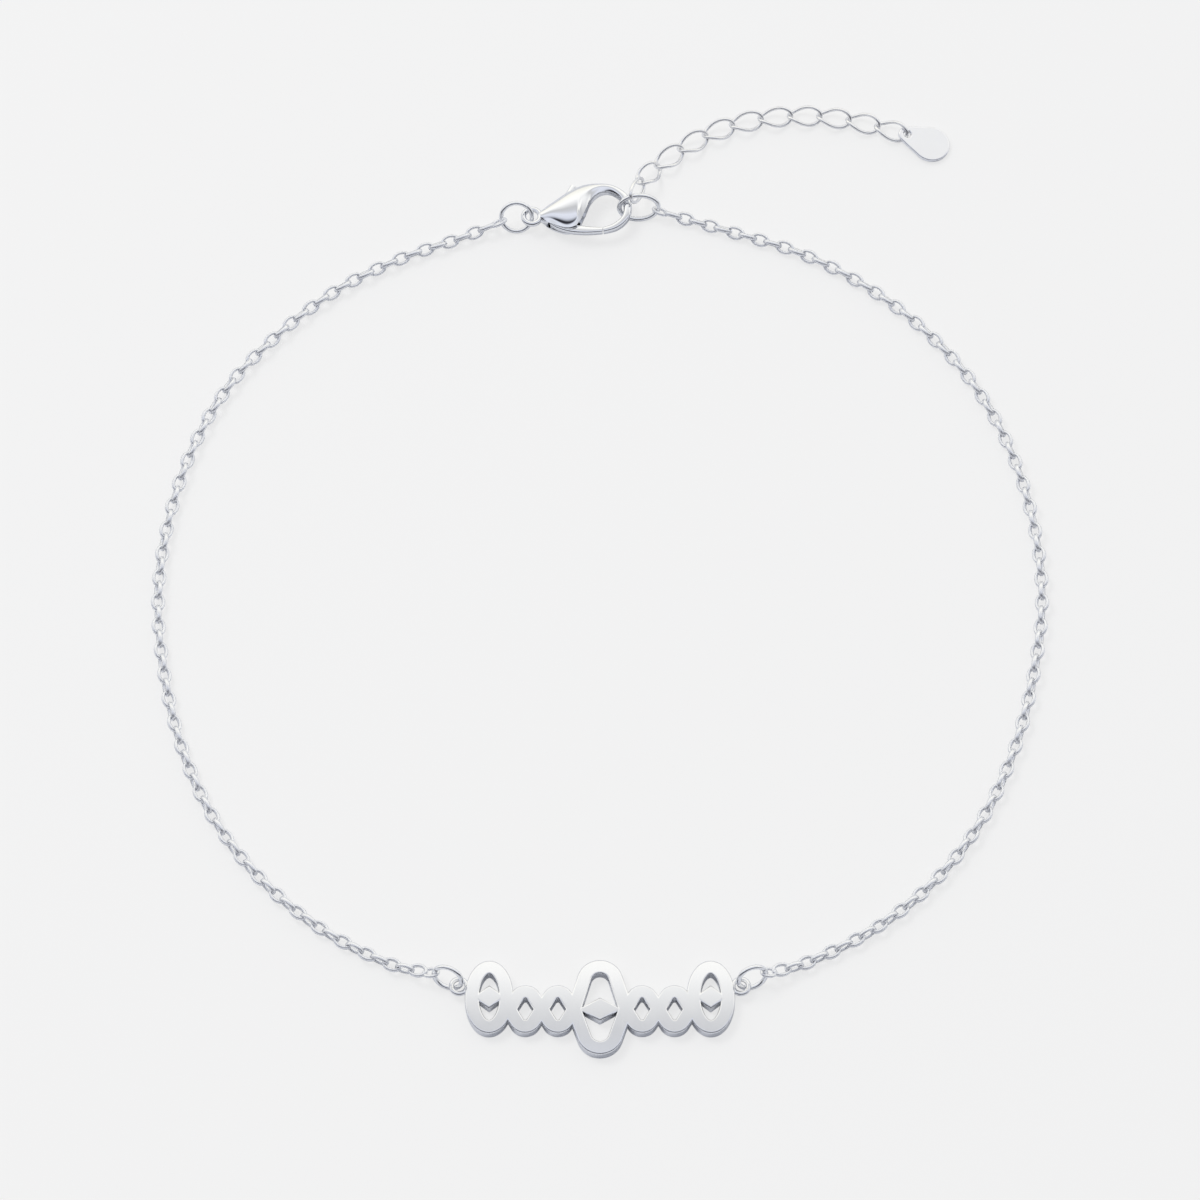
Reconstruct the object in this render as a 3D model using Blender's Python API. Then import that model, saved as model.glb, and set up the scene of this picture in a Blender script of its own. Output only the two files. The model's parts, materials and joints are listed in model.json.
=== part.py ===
"""A silver name bracelet, closed and laid out flat: a pierced name plate, two lengths of fine
cable chain, a lobster clasp with a sprung lever, jump rings, a curb extender and its tag.

Units are metres and +Z is up. The loop of chain lies round the point (0, 0) of the empty
"bracelet", on the surface z = 0, with the clasp on the +Y side and the plate on the -Y side.
The empty then moves everything so that the bounding box stands centred on the world's origin.
The plate's face carries a braided ornament, with no lettering.
"""

import math
from typing import NamedTuple

import bmesh
import bpy
from mathutils import Matrix, Vector

MM = 0.001
UP = Vector((0.0, 0.0, 1.0))

# Name plate
PLATE_Y = -31.2 * MM
PLATE_THICKNESS = 0.9 * MM
PLATE_BEVEL = 0.09 * MM
STROKE = 0.98 * MM
BRAID_LENGTH = 12.3 * MM
BRAID_HEIGHT = 3.5 * MM
MIDDLE_EYE_LENGTH = 3.5 * MM
MIDDLE_EYE_TOP = 3.6 * MM
MIDDLE_EYE_BOTTOM = 3.3 * MM
BOSS_HEIGHT = 1.7 * MM
SIDE_EYE_ROUND = 0.12 * MM
MIDDLE_EYE_ROUND = 0.6 * MM
END_EYE_LENGTH = 3.3 * MM
END_EYE_TOP = 3.55 * MM
END_EYE_BOTTOM = 1.77 * MM
EYELET_OUTER = 1.4 * MM
EYELET_WIRE = 0.34 * MM
EYELET_Z = 0.62 * MM
EYELET_Y = 1.75 * MM
SOLDER = 0.2 * MM

# Cable chain
CHAIN_LINK_LENGTH = 1.36 * MM
CHAIN_LINK_WIDTH = 1.02 * MM
CHAIN_WIRE = 0.23 * MM
CHAIN_GAP = 0.1 * MM
LINK_PLAY = 0.05 * MM

# Jump rings
PLATE_RING_OUTER = 2.32 * MM
PLATE_RING_WIRE = 0.33 * MM
PLATE_RING_LEAN = math.radians(72)
PLATE_RING_HEADING = math.radians(-20)
CLASP_RING_OUTER = 2.55 * MM
CLASP_RING_WIRE = 0.33 * MM
END_RING_LENGTH = 3.17 * MM
END_RING_WIDTH = 2.36 * MM
END_RING_WIRE = 0.35 * MM
END_RING_PLAY = 0.125 * MM

# Clasp
CLASP_EYE = Vector((-4.9, 30.2, 0.0)) * MM
CLASP_HEADING = math.radians(2)
CLASP_LENGTH = 7.2 * MM
CLASP_WIDTH = 4.0 * MM
CLASP_THICKNESS = 2.1 * MM
CLASP_FULLNESS = 3.0
TAIL_EYE_OUTER = 1.6 * MM
TAIL_EYE_WIRE = 0.4 * MM
LEVER_THICKNESS = 0.56 * MM
LEVER_CLEARANCE = 0.08 * MM
LEVER_OPENS = math.radians(18)
LEVER_ARM = 0.5 * MM
LEVER_HUB = 0.5 * MM
THUMB_REACH = 0.55 * MM
SEAM_GAP = 0.08 * MM
PIN_RADIUS = 0.2 * MM
PIN_CLEARANCE = 0.06 * MM

# Extender and tag
EXTENDER_LINKS = 11
EXTENDER_LINK_LENGTH = 2.69 * MM
EXTENDER_LINK_WIDTH = 1.6 * MM
EXTENDER_WIRE = 0.25 * MM
EXTENDER_TWIST_NEAR = math.radians(-20)
EXTENDER_TWIST_FAR = math.radians(65)
TAG_RADIUS = 1.37 * MM
TAG_TIP_RADIUS = 0.64 * MM
TAG_HOLE_RADIUS = 0.27 * MM
TAG_REACH = 1.85 * MM
TAG_THICKNESS = 0.34 * MM
TAG_HEADING = math.radians(-21)

# Routes, chosen by hand, in millimetres round the loop's middle
LEFT_ROUTE = (
    (-10.0, 28.75), (-14.2, 27.1), (-18.7, 24.6), (-22.8, 21.05), (-26.4, 16.7),
    (-28.9, 11.5), (-30.4, 5.7), (-30.9, -0.25), (-30.25, -6.2), (-28.8, -11.9),
    (-26.4, -17.2), (-23.0, -21.7), (-18.9, -25.25), (-14.3, -27.75),
)
RIGHT_ROUTE = (
    (7.1, 30.0), (9.6, 29.2), (14.4, 27.5), (18.9, 24.9), (23.1, 21.3), (26.6, 16.8),
    (29.05, 11.5), (30.5, 5.75), (30.9, -0.25), (30.1, -6.15), (28.6, -11.8),
    (26.2, -17.1), (22.9, -21.6), (18.8, -25.1), (14.2, -27.6),
)
EXTENDER_ROUTE = (
    (3.6, 34.0), (5.0, 35.35), (6.7, 36.6), (8.6, 37.65), (10.8, 38.4), (12.8, 38.75),
    (14.9, 38.85), (16.9, 38.7), (19.0, 38.3), (21.0, 37.7), (23.2, 36.9),
)


class Ring(NamedTuple):
    """Where a wire ring lies: its middle, its two half axes as vectors, and its wire."""

    middle: Vector
    along: Vector
    across: Vector
    wire: float

    def point(self, turn):
        return self.middle + self.along * math.cos(turn) + self.across * math.sin(turn)

    def tangent(self, turn):
        return (self.across * math.cos(turn) - self.along * math.sin(turn)).normalized()

    def points(self, count):
        return [self.point(math.tau * i / count) for i in range(count)]


class ClaspSection(NamedTuple):
    """One section across the clasp's body, from its spine side to its inner side.

    x is a share of the clasp's length from the tail eye, y a share of its width, and rise
    a share of its thickness.
    """

    spine_x: float
    spine_y: float
    inner_x: float
    inner_y: float
    rise: float


CLASP_SECTIONS = tuple(ClaspSection(*row) for row in (
    (0.076, 0.070, 0.086, -0.095, 0.32),
    (0.160, 0.175, 0.170, -0.200, 0.66),
    (0.246, 0.280, 0.256, -0.275, 0.88),
    (0.353, 0.418, 0.345, -0.325, 1.00),
    (0.450, 0.522, 0.430, -0.290, 0.96),
    (0.532, 0.585, 0.490, -0.150, 0.80),
    (0.601, 0.612, 0.540, 0.050, 0.62),
    (0.672, 0.618, 0.592, 0.262, 0.48),
    (0.742, 0.608, 0.680, 0.412, 0.42),
    (0.826, 0.566, 0.778, 0.432, 0.40),
    (0.903, 0.478, 0.850, 0.358, 0.40),
    (0.972, 0.348, 0.902, 0.250, 0.40),
    (1.000, 0.200, 0.919, 0.138, 0.40),
    (1.000, 0.050, 0.914, 0.015, 0.40),
    (0.975, -0.105, 0.892, -0.090, 0.38),
    (0.910, -0.250, 0.845, -0.172, 0.34),
    (0.824, -0.345, 0.778, -0.244, 0.30),
    (0.712, -0.390, 0.704, -0.280, 0.26),
))


class LeverSection(NamedTuple):
    """One section across the lever's gate: x, low edge and high edge, in the clasp's shares."""

    x: float
    low: float
    high: float


LEVER_SECTIONS = tuple(LeverSection(*row) for row in (
    (0.180, -0.200, -0.075),
    (0.225, -0.265, -0.085),
    (0.300, -0.330, -0.130),
    (0.395, -0.380, -0.195),
    (0.510, -0.402, -0.240),
    (0.610, -0.402, -0.270),
    (0.712, -0.392, -0.282),
))
PIVOT_X = 0.243
PIVOT_Y = 0.0
THUMB_TURN = math.radians(60)


def clear_scene():
    for old in list(bpy.data.objects):
        bpy.data.objects.remove(old)


def silver(name, colour, roughness):
    material = bpy.data.materials.new(name)
    material.use_nodes = True
    shader = material.node_tree.nodes["Principled BSDF"]
    shader.inputs["Base Color"].default_value = (*colour, 1.0)
    shader.inputs["Metallic"].default_value = 1.0
    shader.inputs["Roughness"].default_value = roughness
    return material


def add_object(name, data, parent, colour=(0.93, 0.94, 0.95), roughness=0.12):
    piece = bpy.data.objects.new(name, data)
    bpy.context.scene.collection.objects.link(piece)
    piece.parent = parent
    data.materials.append(silver(name, colour, roughness))
    return piece


def mesh_of(name, corners, faces, smooth_angle=math.radians(35)):
    mesh = bpy.data.meshes.new(name)
    mesh.from_pydata([tuple(c) for c in corners], [], faces)
    shape = bmesh.new()
    shape.from_mesh(mesh)
    bmesh.ops.recalc_face_normals(shape, faces=shape.faces)
    shape.to_mesh(mesh)
    shape.free()
    if smooth_angle:
        mesh.shade_smooth()
        mesh.set_sharp_from_angle(angle=smooth_angle)
    return mesh


def combine(base, other, operation):
    """A Boolean of two objects, whose second one stays as a hidden guide."""
    change = base.modifiers.new(operation.lower(), "BOOLEAN")
    change.operation = operation
    change.solver = "EXACT"
    change.object = other
    other.hide_render = True
    other.display_type = "WIRE"


def curve_through(points, step):
    """Points about `step` apart on a smooth curve through the given ones."""
    ends = [2 * points[0] - points[1], *points, 2 * points[-1] - points[-2]]
    fine = []
    for before, start, end, after in zip(ends, ends[1:], ends[2:], ends[3:]):
        for part in range(24):
            t = part / 24
            fine.append(0.5 * (
                2 * start
                + (end - before) * t
                + (2 * before - 5 * start + 4 * end - after) * t ** 2
                + (3 * start - before - 3 * end + after) * t ** 3
            ))
    fine.append(points[-1].copy())
    lengths = [0.0]
    for start, end in zip(fine, fine[1:]):
        lengths.append(lengths[-1] + (end - start).length)
    count = max(2, round(lengths[-1] / step))
    return [point_at(fine, lengths, lengths[-1] * i / count) for i in range(count + 1)]


def point_at(points, lengths, distance):
    for i in range(1, len(points)):
        if lengths[i] >= distance:
            share = (distance - lengths[i - 1]) / (lengths[i] - lengths[i - 1])
            return points[i - 1].lerp(points[i], share)
    return points[-1].copy()


def wire_object(name, points, diameter, parent, closed, resolution=1):
    """A wire along the points, round in section: a closed ring, or a bar with flat ends."""
    curve = bpy.data.curves.new(name, "CURVE")
    curve.dimensions = "3D"
    curve.bevel_depth = diameter / 2
    curve.bevel_resolution = resolution
    curve.use_fill_caps = not closed
    spline = curve.splines.new("POLY")
    spline.points.add(len(points) - 1)
    for place, point in zip(spline.points, points):
        place.co = (*point, 1.0)
    spline.use_cyclic_u = closed
    return add_object(name, curve, parent)


def torus_mesh(name, middle, radius, wire, around=20, sides=8):
    """A flat ring of round wire, as a mesh, for soldering on to another piece."""
    corners = []
    for i in range(around):
        turn = math.tau * i / around
        out = Vector((math.cos(turn), math.sin(turn), 0.0))
        for j in range(sides):
            bend = math.tau * (j + 0.5) / sides
            corners.append(middle + out * (radius + wire / 2 * math.cos(bend))
                           + UP * wire / 2 * math.sin(bend))
    faces = []
    for i in range(around):
        for j in range(sides):
            k, m = (i + 1) % around, (j + 1) % sides
            faces.append((i * sides + j, k * sides + j, k * sides + m, i * sides + m))
    return mesh_of(name, corners, faces)


def prism_mesh(name, outline, low, high):
    """A straight-sided solid over an outline."""
    count = len(outline)
    corners = [Vector((p.x, p.y, low)) for p in outline]
    corners += [Vector((p.x, p.y, high)) for p in outline]
    faces = [tuple(range(count)), tuple(range(count, 2 * count))]
    faces += [(i, (i + 1) % count, count + (i + 1) % count, count + i) for i in range(count)]
    return mesh_of(name, corners, faces, 0.0)


def boss_mesh(name, middle, half_length, half_height):
    """A lozenge as thick as the plate, with its upper edges bevelled."""
    reach = half_length * half_height / math.hypot(half_length, half_height)
    corners = []
    for level, share in ((0, 1), (PLATE_THICKNESS - PLATE_BEVEL, 1),
                         (PLATE_THICKNESS, 1 - PLATE_BEVEL / reach)):
        for x, y in ((1, 0), (0, 1), (-1, 0), (0, -1)):
            corners.append(middle + Vector((x * half_length * share, y * half_height * share, level)))
    faces = [(0, 1, 2, 3), (8, 9, 10, 11)]
    for start in (0, 4):
        for i in range(4):
            j = (i + 1) % 4
            faces.append((start + i, start + j, start + 4 + j, start + 4 + i))
    return mesh_of(name, corners, faces)


def strap_mesh(name, path, closed, width=STROKE, height=PLATE_THICKNESS, bevel=PLATE_BEVEL):
    """A flat strap that follows a path on the surface, with its upper edges bevelled."""
    half = width / 2
    section = ((-half, 0), (half, 0), (half, height - bevel), (half - bevel, height),
               (bevel - half, height), (-half, height - bevel))
    count = len(path)
    corners = []
    for i, point in enumerate(path):
        before = path[i - 1] if i or closed else point
        after = path[(i + 1) % count] if i < count - 1 or closed else point
        aside = (after - before).normalized().cross(UP)
        corners += [point + aside * s + UP * z for s, z in section]
    faces = []
    size = len(section)
    for i in range(count if closed else count - 1):
        for j in range(size):
            k, m = (i + 1) % count, (j + 1) % size
            faces.append((i * size + j, k * size + j, k * size + m, i * size + m))
    if not closed:
        faces += [tuple(range(size)), tuple(range((count - 1) * size, count * size))]
    return mesh_of(name, corners, faces)


def oval_path(middle, half_length, half_height, count=32):
    return [
        middle + Vector((half_length * math.cos(math.tau * i / count),
                         half_height * math.sin(math.tau * i / count), 0.0))
        for i in range(count)
    ]


def crossing_angle(half_length, height, bend):
    """The slope of a wave's straight stretch, where it meets a round crest of radius `bend`."""
    low, high = 0.0, math.pi / 2
    for _ in range(40):
        angle = (low + high) / 2
        straight = half_length - bend * math.sin(angle)
        if straight * math.tan(angle) < height - bend * (1 - math.cos(angle)):
            low = angle
        else:
            high = angle
    return angle


def crest_points(left, length, height, bend, steps):
    """One half wave from its crossing at `left`: straight, round over the crest, straight."""
    angle = crossing_angle(length / 2, abs(height), bend)
    sign = math.copysign(1.0, height)
    points = [Vector((left, 0.0, 0.0))]
    for i in range(steps + 1):
        turn = -angle + 2 * angle * i / steps
        points.append(Vector((
            left + length / 2 + bend * math.sin(turn),
            sign * (abs(height) - bend * (1 - math.cos(turn))),
            0.0,
        )))
    return points


def braid_path(first_up):
    """One of the two waves that cross to make the braid's eyes, from left to right."""
    side_eye = (BRAID_LENGTH - MIDDLE_EYE_LENGTH) / 4
    crest = (BRAID_HEIGHT - STROKE) / 2
    side = (side_eye, crest, crest, STROKE / 2 + SIDE_EYE_ROUND)
    middle = (MIDDLE_EYE_LENGTH, MIDDLE_EYE_TOP - STROKE / 2,
              MIDDLE_EYE_BOTTOM - STROKE / 2, STROKE / 2 + MIDDLE_EYE_ROUND)
    path = []
    left = -BRAID_LENGTH / 2
    up = first_up
    for length, top, bottom, bend in (side, side, middle, side, side):
        path += crest_points(left, length, top if up else -bottom, bend, 8)
        left += length
        up = not up
    path.append(Vector((left, 0.0, 0.0)))
    path.insert(0, path[0] - (path[1] - path[0]).normalized() * STROKE * 0.35)
    path.append(path[-1] + (path[-1] - path[-2]).normalized() * STROKE * 0.35)
    return path


def end_eye_middle(side):
    rise = (END_EYE_TOP - END_EYE_BOTTOM) / 2
    reach = BRAID_LENGTH / 2 + END_EYE_LENGTH / 2 - STROKE * 0.3
    return Vector((side * reach, rise, 0.0))


def eyelet_middle(side):
    """The eyelet is soldered on to the end eye's outer side, near its top."""
    middle = end_eye_middle(side)
    half_height = (END_EYE_TOP + END_EYE_BOTTOM) / 2
    bulge = math.sqrt(1 - ((EYELET_Y - middle.y) / half_height) ** 2)
    wall = abs(middle.x) + END_EYE_LENGTH / 2 * bulge
    return Vector((side * (wall + EYELET_OUTER / 2 - SOLDER), EYELET_Y, EYELET_Z))


def make_name_plate(bracelet):
    """The pierced plate: a braid of crossing waves, a boss, two end eyes and two eyelets."""
    place = Vector((0.0, PLATE_Y, 0.0))
    plate = add_object("name_plate", strap_mesh("name_plate", braid_path(True), False),
                       bracelet, (0.95, 0.95, 0.96), 0.1)
    tip = MIDDLE_EYE_LENGTH / 2 - STROKE * 0.3
    pieces = [
        ("plate_braid", strap_mesh("plate_braid", braid_path(False), False)),
        ("plate_boss", boss_mesh("plate_boss", Vector(), tip, BOSS_HEIGHT / 2)),
    ]
    half_height = (END_EYE_TOP + END_EYE_BOTTOM - STROKE) / 2
    for side, word in ((-1, "left"), (1, "right")):
        middle = end_eye_middle(side)
        oval = oval_path(middle, (END_EYE_LENGTH - STROKE) / 2, half_height)
        boss = boss_mesh("plate_end_boss", middle, END_EYE_LENGTH / 2 - STROKE * 0.6,
                         BOSS_HEIGHT / 2)
        eyelet = torus_mesh("plate_eyelet_" + word, eyelet_middle(side),
                            (EYELET_OUTER - EYELET_WIRE) / 2, EYELET_WIRE)
        pieces.append(("plate_end_eye_" + word, strap_mesh("plate_end_eye", oval, True)))
        pieces.append(("plate_end_boss_" + word, boss))
        pieces.append(("plate_eyelet_" + word, eyelet))
    for name, mesh in pieces:
        piece = add_object(name, mesh, bracelet)
        piece.location = place
        combine(plate, piece, "UNION")
    plate.location = place
    return plate


def make_ring(name, ring, bracelet, around=24):
    return wire_object(name, ring.points(around), ring.wire, bracelet, True, 2)


def plate_ring(side):
    """A jump ring that leans on the plate's eyelet, through its hole, and stands on the surface."""
    radius = (PLATE_RING_OUTER - PLATE_RING_WIRE) / 2
    turn = PLATE_RING_HEADING if side < 0 else -PLATE_RING_HEADING
    along = Vector((math.cos(turn), math.sin(turn), 0.0)) * -side
    back = UP.cross(along) * -side
    across = back * math.cos(PLATE_RING_LEAN) + UP * math.sin(PLATE_RING_LEAN)
    height = radius * math.sin(PLATE_RING_LEAN) + PLATE_RING_WIRE / 2
    dip = math.asin((EYELET_Z - height) / (radius * math.sin(PLATE_RING_LEAN)))
    hole = eyelet_middle(side) + Vector((0.0, PLATE_Y, 0.0))
    middle = hole - (along * math.cos(dip) + across * math.sin(dip)) * radius
    return Ring(middle, along * radius, across * radius, PLATE_RING_WIRE)


def oval_link_points(middle, along, side_near, side_far, length, width, wire, count=16):
    """The centre line of one oval link, whose side direction may twist along it."""
    half_length = (length - wire) / 2
    half_width = (width - wire) / 2
    points = []
    for i in range(count):
        turn = math.tau * (i + 0.5) / count
        share = (math.cos(turn) + 1) / 2
        eased = share * share * (3 - 2 * share)
        side = side_near.lerp(side_far, eased).normalized()
        points.append(middle + along * half_length * math.cos(turn)
                      + side * half_width * math.sin(turn))
    return points


def chain_height():
    return CHAIN_LINK_WIDTH / 2


def make_end_link(name, ring, turn, towards, bracelet):
    """The chain's last link, round a ring's wire. It returns where the rest of the chain ends."""
    start = ring.point(turn)
    goal = Vector((towards[0] * MM, towards[1] * MM, start.z))
    level = (goal - start).normalized()
    drop = Vector((0.0, 0.0, chain_height() - start.z))
    along = (level * CHAIN_LINK_LENGTH + drop).normalized()
    side = ring.tangent(turn).cross(along).normalized()
    half_length = (CHAIN_LINK_LENGTH - CHAIN_WIRE) / 2
    middle = start + along * (half_length - (CHAIN_WIRE + ring.wire) / 2 - LINK_PLAY)
    points = oval_link_points(middle, along, side, side, CHAIN_LINK_LENGTH,
                              CHAIN_LINK_WIDTH, CHAIN_WIRE, 14)
    wire_object(name, points, CHAIN_WIRE, bracelet, True)
    end = middle + along * (CHAIN_LINK_LENGTH / 2 + CHAIN_GAP)
    return Vector((end.x, end.y, chain_height()))


def make_chain(name, first_end, route, second_end, bracelet):
    """The body of one length of chain: a tube of its links' width along its route."""
    middle = [Vector((x * MM, y * MM, chain_height())) for x, y in route]
    points = curve_through([first_end, *middle, second_end], CHAIN_LINK_WIDTH * 2.2)
    wire_object(name, points, CHAIN_LINK_WIDTH, bracelet, False, 2)


def clasp_point(x, y, z=0.0):
    """A point given along and across the clasp, from the middle of its tail eye."""
    turned = Matrix.Rotation(CLASP_HEADING, 3, "Z") @ Vector((x, y, 0.0))
    return CLASP_EYE + turned + UP * (CLASP_THICKNESS / 2 + z)


def clasp_direction(x, y):
    return Matrix.Rotation(CLASP_HEADING, 3, "Z") @ Vector((x, y, 0.0))


def pivot():
    return Vector((PIVOT_X * CLASP_LENGTH, PIVOT_Y * CLASP_WIDTH, 0.0))


def smooth_rows(rows, parts):
    """The rows of a table with rows put in between on a smooth curve through them."""
    ends = [rows[0], *rows, rows[-1]]
    result = []
    for before, start, end, after in zip(ends, ends[1:], ends[2:], ends[3:]):
        for part in range(parts):
            t = part / parts
            result.append(tuple(
                b + 0.5 * t * (c - a + t * (2 * a - 5 * b + 4 * c - d + t * (3 * (b - c) + d - a)))
                for a, b, c, d in zip(before, start, end, after)
            ))
    result.append(tuple(rows[-1]))
    return result


def rounded_section(first, second, rise, sides, fullness):
    """Points round a pillow-shaped section between two edge points, `rise` high each way."""
    middle, half = (first + second) / 2, (first - second) / 2
    points = []
    for i in range(sides):
        turn = math.tau * (i + 0.5) / sides
        c, s = math.cos(turn), math.sin(turn)
        across = math.copysign(abs(c) ** (2 / fullness), c)
        up = math.copysign(abs(s) ** (2 / fullness), s)
        points.append(middle + half * across + UP * rise * up)
    return points


def loft_mesh(name, sections):
    size = len(sections[0])
    corners = [corner for section in sections for corner in section]
    faces = [tuple(range(size)), tuple(range(len(corners) - size, len(corners)))]
    for i in range(len(sections) - 1):
        for j in range(size):
            m = (j + 1) % size
            faces.append((i * size + j, (i + 1) * size + j, (i + 1) * size + m, i * size + m))
    return mesh_of(name, corners, faces)


def slot_outline():
    """The plan of the lever's slot: its hub, the gate's sweep and the thumb arm's sweep."""
    centre = pivot()
    hub = LEVER_HUB + LEVER_CLEARANCE
    gate_reach = 0.36 * CLASP_LENGTH
    arm_reach = CLASP_WIDTH * 1.1
    side = LEVER_ARM / 2 + LEVER_CLEARANCE

    def at(turn, distance, aside=0.0):
        out = Vector((math.cos(turn), math.sin(turn), 0.0))
        return centre + out * distance + UP.cross(out) * aside

    gate_from, gate_to = math.radians(-140), math.radians(8)
    opened = THUMB_TURN + LEVER_OPENS
    start = math.sqrt(hub ** 2 - side ** 2)
    edge = math.asin(side / hub)
    outline = [at(gate_from + (gate_to - gate_from) * i / 8, gate_reach) for i in range(9)]
    for turn in (gate_to, (gate_to + THUMB_TURN - edge) / 2):
        outline.append(at(turn, hub))
    outline += [at(THUMB_TURN, start, -side), at(THUMB_TURN, arm_reach, -side)]
    outline += [at(opened, arm_reach, side), at(opened, start, side)]
    last = math.tau + gate_from
    first = opened + edge
    outline += [at(first + (last - first) * i / 5, hub) for i in range(1, 6)]
    return [clasp_point(p.x, p.y) for p in outline]


def make_clasp_body(bracelet):
    """The clasp's body: a domed tail that narrows into the hook, with a slot for the lever."""
    sections = []
    for spine_x, spine_y, inner_x, inner_y, rise in smooth_rows(CLASP_SECTIONS, 2):
        spine = clasp_point(spine_x * CLASP_LENGTH, spine_y * CLASP_WIDTH)
        inner = clasp_point(inner_x * CLASP_LENGTH, inner_y * CLASP_WIDTH)
        sections.append(rounded_section(spine, inner, rise * CLASP_THICKNESS / 2, 16, CLASP_FULLNESS))
    body = add_object("clasp_body", loft_mesh("clasp_body", sections), bracelet, (0.9, 0.91, 0.94))
    slot_half = LEVER_THICKNESS / 2 + LEVER_CLEARANCE
    level = CLASP_THICKNESS / 2
    slot = add_object("clasp_slot", prism_mesh("clasp_slot", slot_outline(), level - slot_half,
                                               level + slot_half), bracelet)
    combine(body, slot, "DIFFERENCE")
    eye = torus_mesh("clasp_tail_eye", clasp_point(0.0, 0.0),
                     (TAIL_EYE_OUTER - TAIL_EYE_WIRE) / 2, TAIL_EYE_WIRE)
    combine(body, add_object("clasp_tail_eye", eye, bracelet), "UNION")
    pin = prism_mesh("clasp_pin", pivot_circle(PIN_RADIUS, 12), level - slot_half * 1.4,
                     level + slot_half * 1.4)
    combine(body, add_object("clasp_pin", pin, bracelet), "UNION")
    return body


def pivot_circle(radius, count):
    centre = pivot()
    return [
        clasp_point(centre.x + radius * math.cos(math.tau * i / count),
                    centre.y + radius * math.sin(math.tau * i / count))
        for i in range(count)
    ]


def make_clasp_lever(bracelet):
    """The sprung lever: its gate closes the hook, and its thumb tab stands out of the spine."""
    centre = clasp_point(pivot().x, pivot().y)
    joint = bpy.data.objects.new("lever_pivot", None)
    bpy.context.scene.collection.objects.link(joint)
    joint.parent = bracelet
    joint.location = centre
    half = LEVER_THICKNESS / 2
    sections = []
    for x, low, high in smooth_rows(LEVER_SECTIONS, 2):
        back = SEAM_GAP * (x - LEVER_SECTIONS[0].x) / (LEVER_SECTIONS[-1].x - LEVER_SECTIONS[0].x)
        low_edge = clasp_point(x * CLASP_LENGTH - back, low * CLASP_WIDTH) - centre
        high_edge = clasp_point(x * CLASP_LENGTH - back, high * CLASP_WIDTH) - centre
        sections.append(rounded_section(high_edge, low_edge, half, 12, CLASP_FULLNESS))
    lever = add_object("clasp_lever", loft_mesh("clasp_lever", sections), joint, (0.9, 0.91, 0.94))
    hub = [p - centre for p in pivot_circle(LEVER_HUB, 20)]
    combine(lever, add_object("lever_hub", prism_mesh("lever_hub", hub, -half, half), joint), "UNION")
    arm_reach = thumb_distance() + THUMB_REACH
    out = clasp_direction(math.cos(THUMB_TURN), math.sin(THUMB_TURN))
    aside = UP.cross(out) * LEVER_ARM / 2
    arm = [aside, -aside, out * arm_reach - aside, out * arm_reach + aside]
    combine(lever, add_object("lever_arm", prism_mesh("lever_arm", arm, -half, half), joint), "UNION")
    bore = [p - centre for p in pivot_circle(PIN_RADIUS + PIN_CLEARANCE, 12)]
    cutter = add_object("lever_bore", prism_mesh("lever_bore", bore, -2 * half, 2 * half), joint)
    combine(lever, cutter, "DIFFERENCE")
    return lever


def thumb_distance():
    """How far the spine's outline lies from the pivot, along the thumb arm."""
    centre = pivot()
    out = Vector((math.cos(THUMB_TURN), math.sin(THUMB_TURN), 0.0))
    rows = smooth_rows(CLASP_SECTIONS, 8)
    outline = [Vector((row[0] * CLASP_LENGTH, row[1] * CLASP_WIDTH, 0.0)) - centre for row in rows]
    nearest = min(outline, key=lambda p: abs(p.cross(out).z) if p.dot(out) > 0 else 1.0)
    return nearest.dot(out)


def clasp_ring():
    """The ring through the clasp's tail eye, leaning on it with its lower side on the surface."""
    radius = (CLASP_RING_OUTER - CLASP_RING_WIRE) / 2
    eye = clasp_point(0.0, 0.0)
    lean = math.asin(min(1.0, (eye.z - CLASP_RING_WIRE / 2) / radius))
    along = clasp_direction(1.0, 0.0)
    back = UP.cross(along)
    across = back * math.cos(lean) + UP * math.sin(lean)
    return Ring(eye - along * radius, along * radius, across * radius, CLASP_RING_WIRE)


def end_ring():
    """The oval ring that the clasp's hook holds: over the hook's arm behind, under it in front."""
    half_length = (END_RING_LENGTH - END_RING_WIRE) / 2
    half_width = (END_RING_WIDTH - END_RING_WIRE) / 2
    arm = next(row for row in CLASP_SECTIONS if row.spine_x == 1.0)
    inner = arm.inner_x * CLASP_LENGTH - END_RING_WIRE / 2 - END_RING_PLAY
    middle_of_arm = (1.0 + arm.inner_x) / 2 * CLASP_LENGTH
    offset = (middle_of_arm - inner - half_length) / half_length
    rise = arm.rise * CLASP_THICKNESS / 2 + END_RING_WIRE / 2 + END_RING_PLAY
    lean = math.asin(min(1.0, rise / (half_width * math.sqrt(1 - offset ** 2))))
    along = clasp_direction(1.0, 0.0)
    across = UP.cross(along) * math.cos(lean) + UP * math.sin(lean)
    arm_y = (arm.spine_y + CLASP_SECTIONS[CLASP_SECTIONS.index(arm) + 1].spine_y) / 2
    middle = clasp_point(inner + half_length, arm_y * CLASP_WIDTH)
    return Ring(middle, along * half_length, across * half_width, END_RING_WIRE)


def curb_height():
    """How high a curb link's middle lies when its lowest wire touches the surface."""
    flat = Vector((0.0, 1.0, 0.0))
    points = oval_link_points(
        Vector(), Vector((1.0, 0.0, 0.0)), twisted(flat, EXTENDER_TWIST_NEAR),
        twisted(flat, EXTENDER_TWIST_FAR), EXTENDER_LINK_LENGTH, EXTENDER_LINK_WIDTH, EXTENDER_WIRE)
    return EXTENDER_WIRE / 2 - min(p.z for p in points)


def twisted(flat, angle):
    return flat * math.cos(angle) + UP * math.sin(angle)


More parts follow.
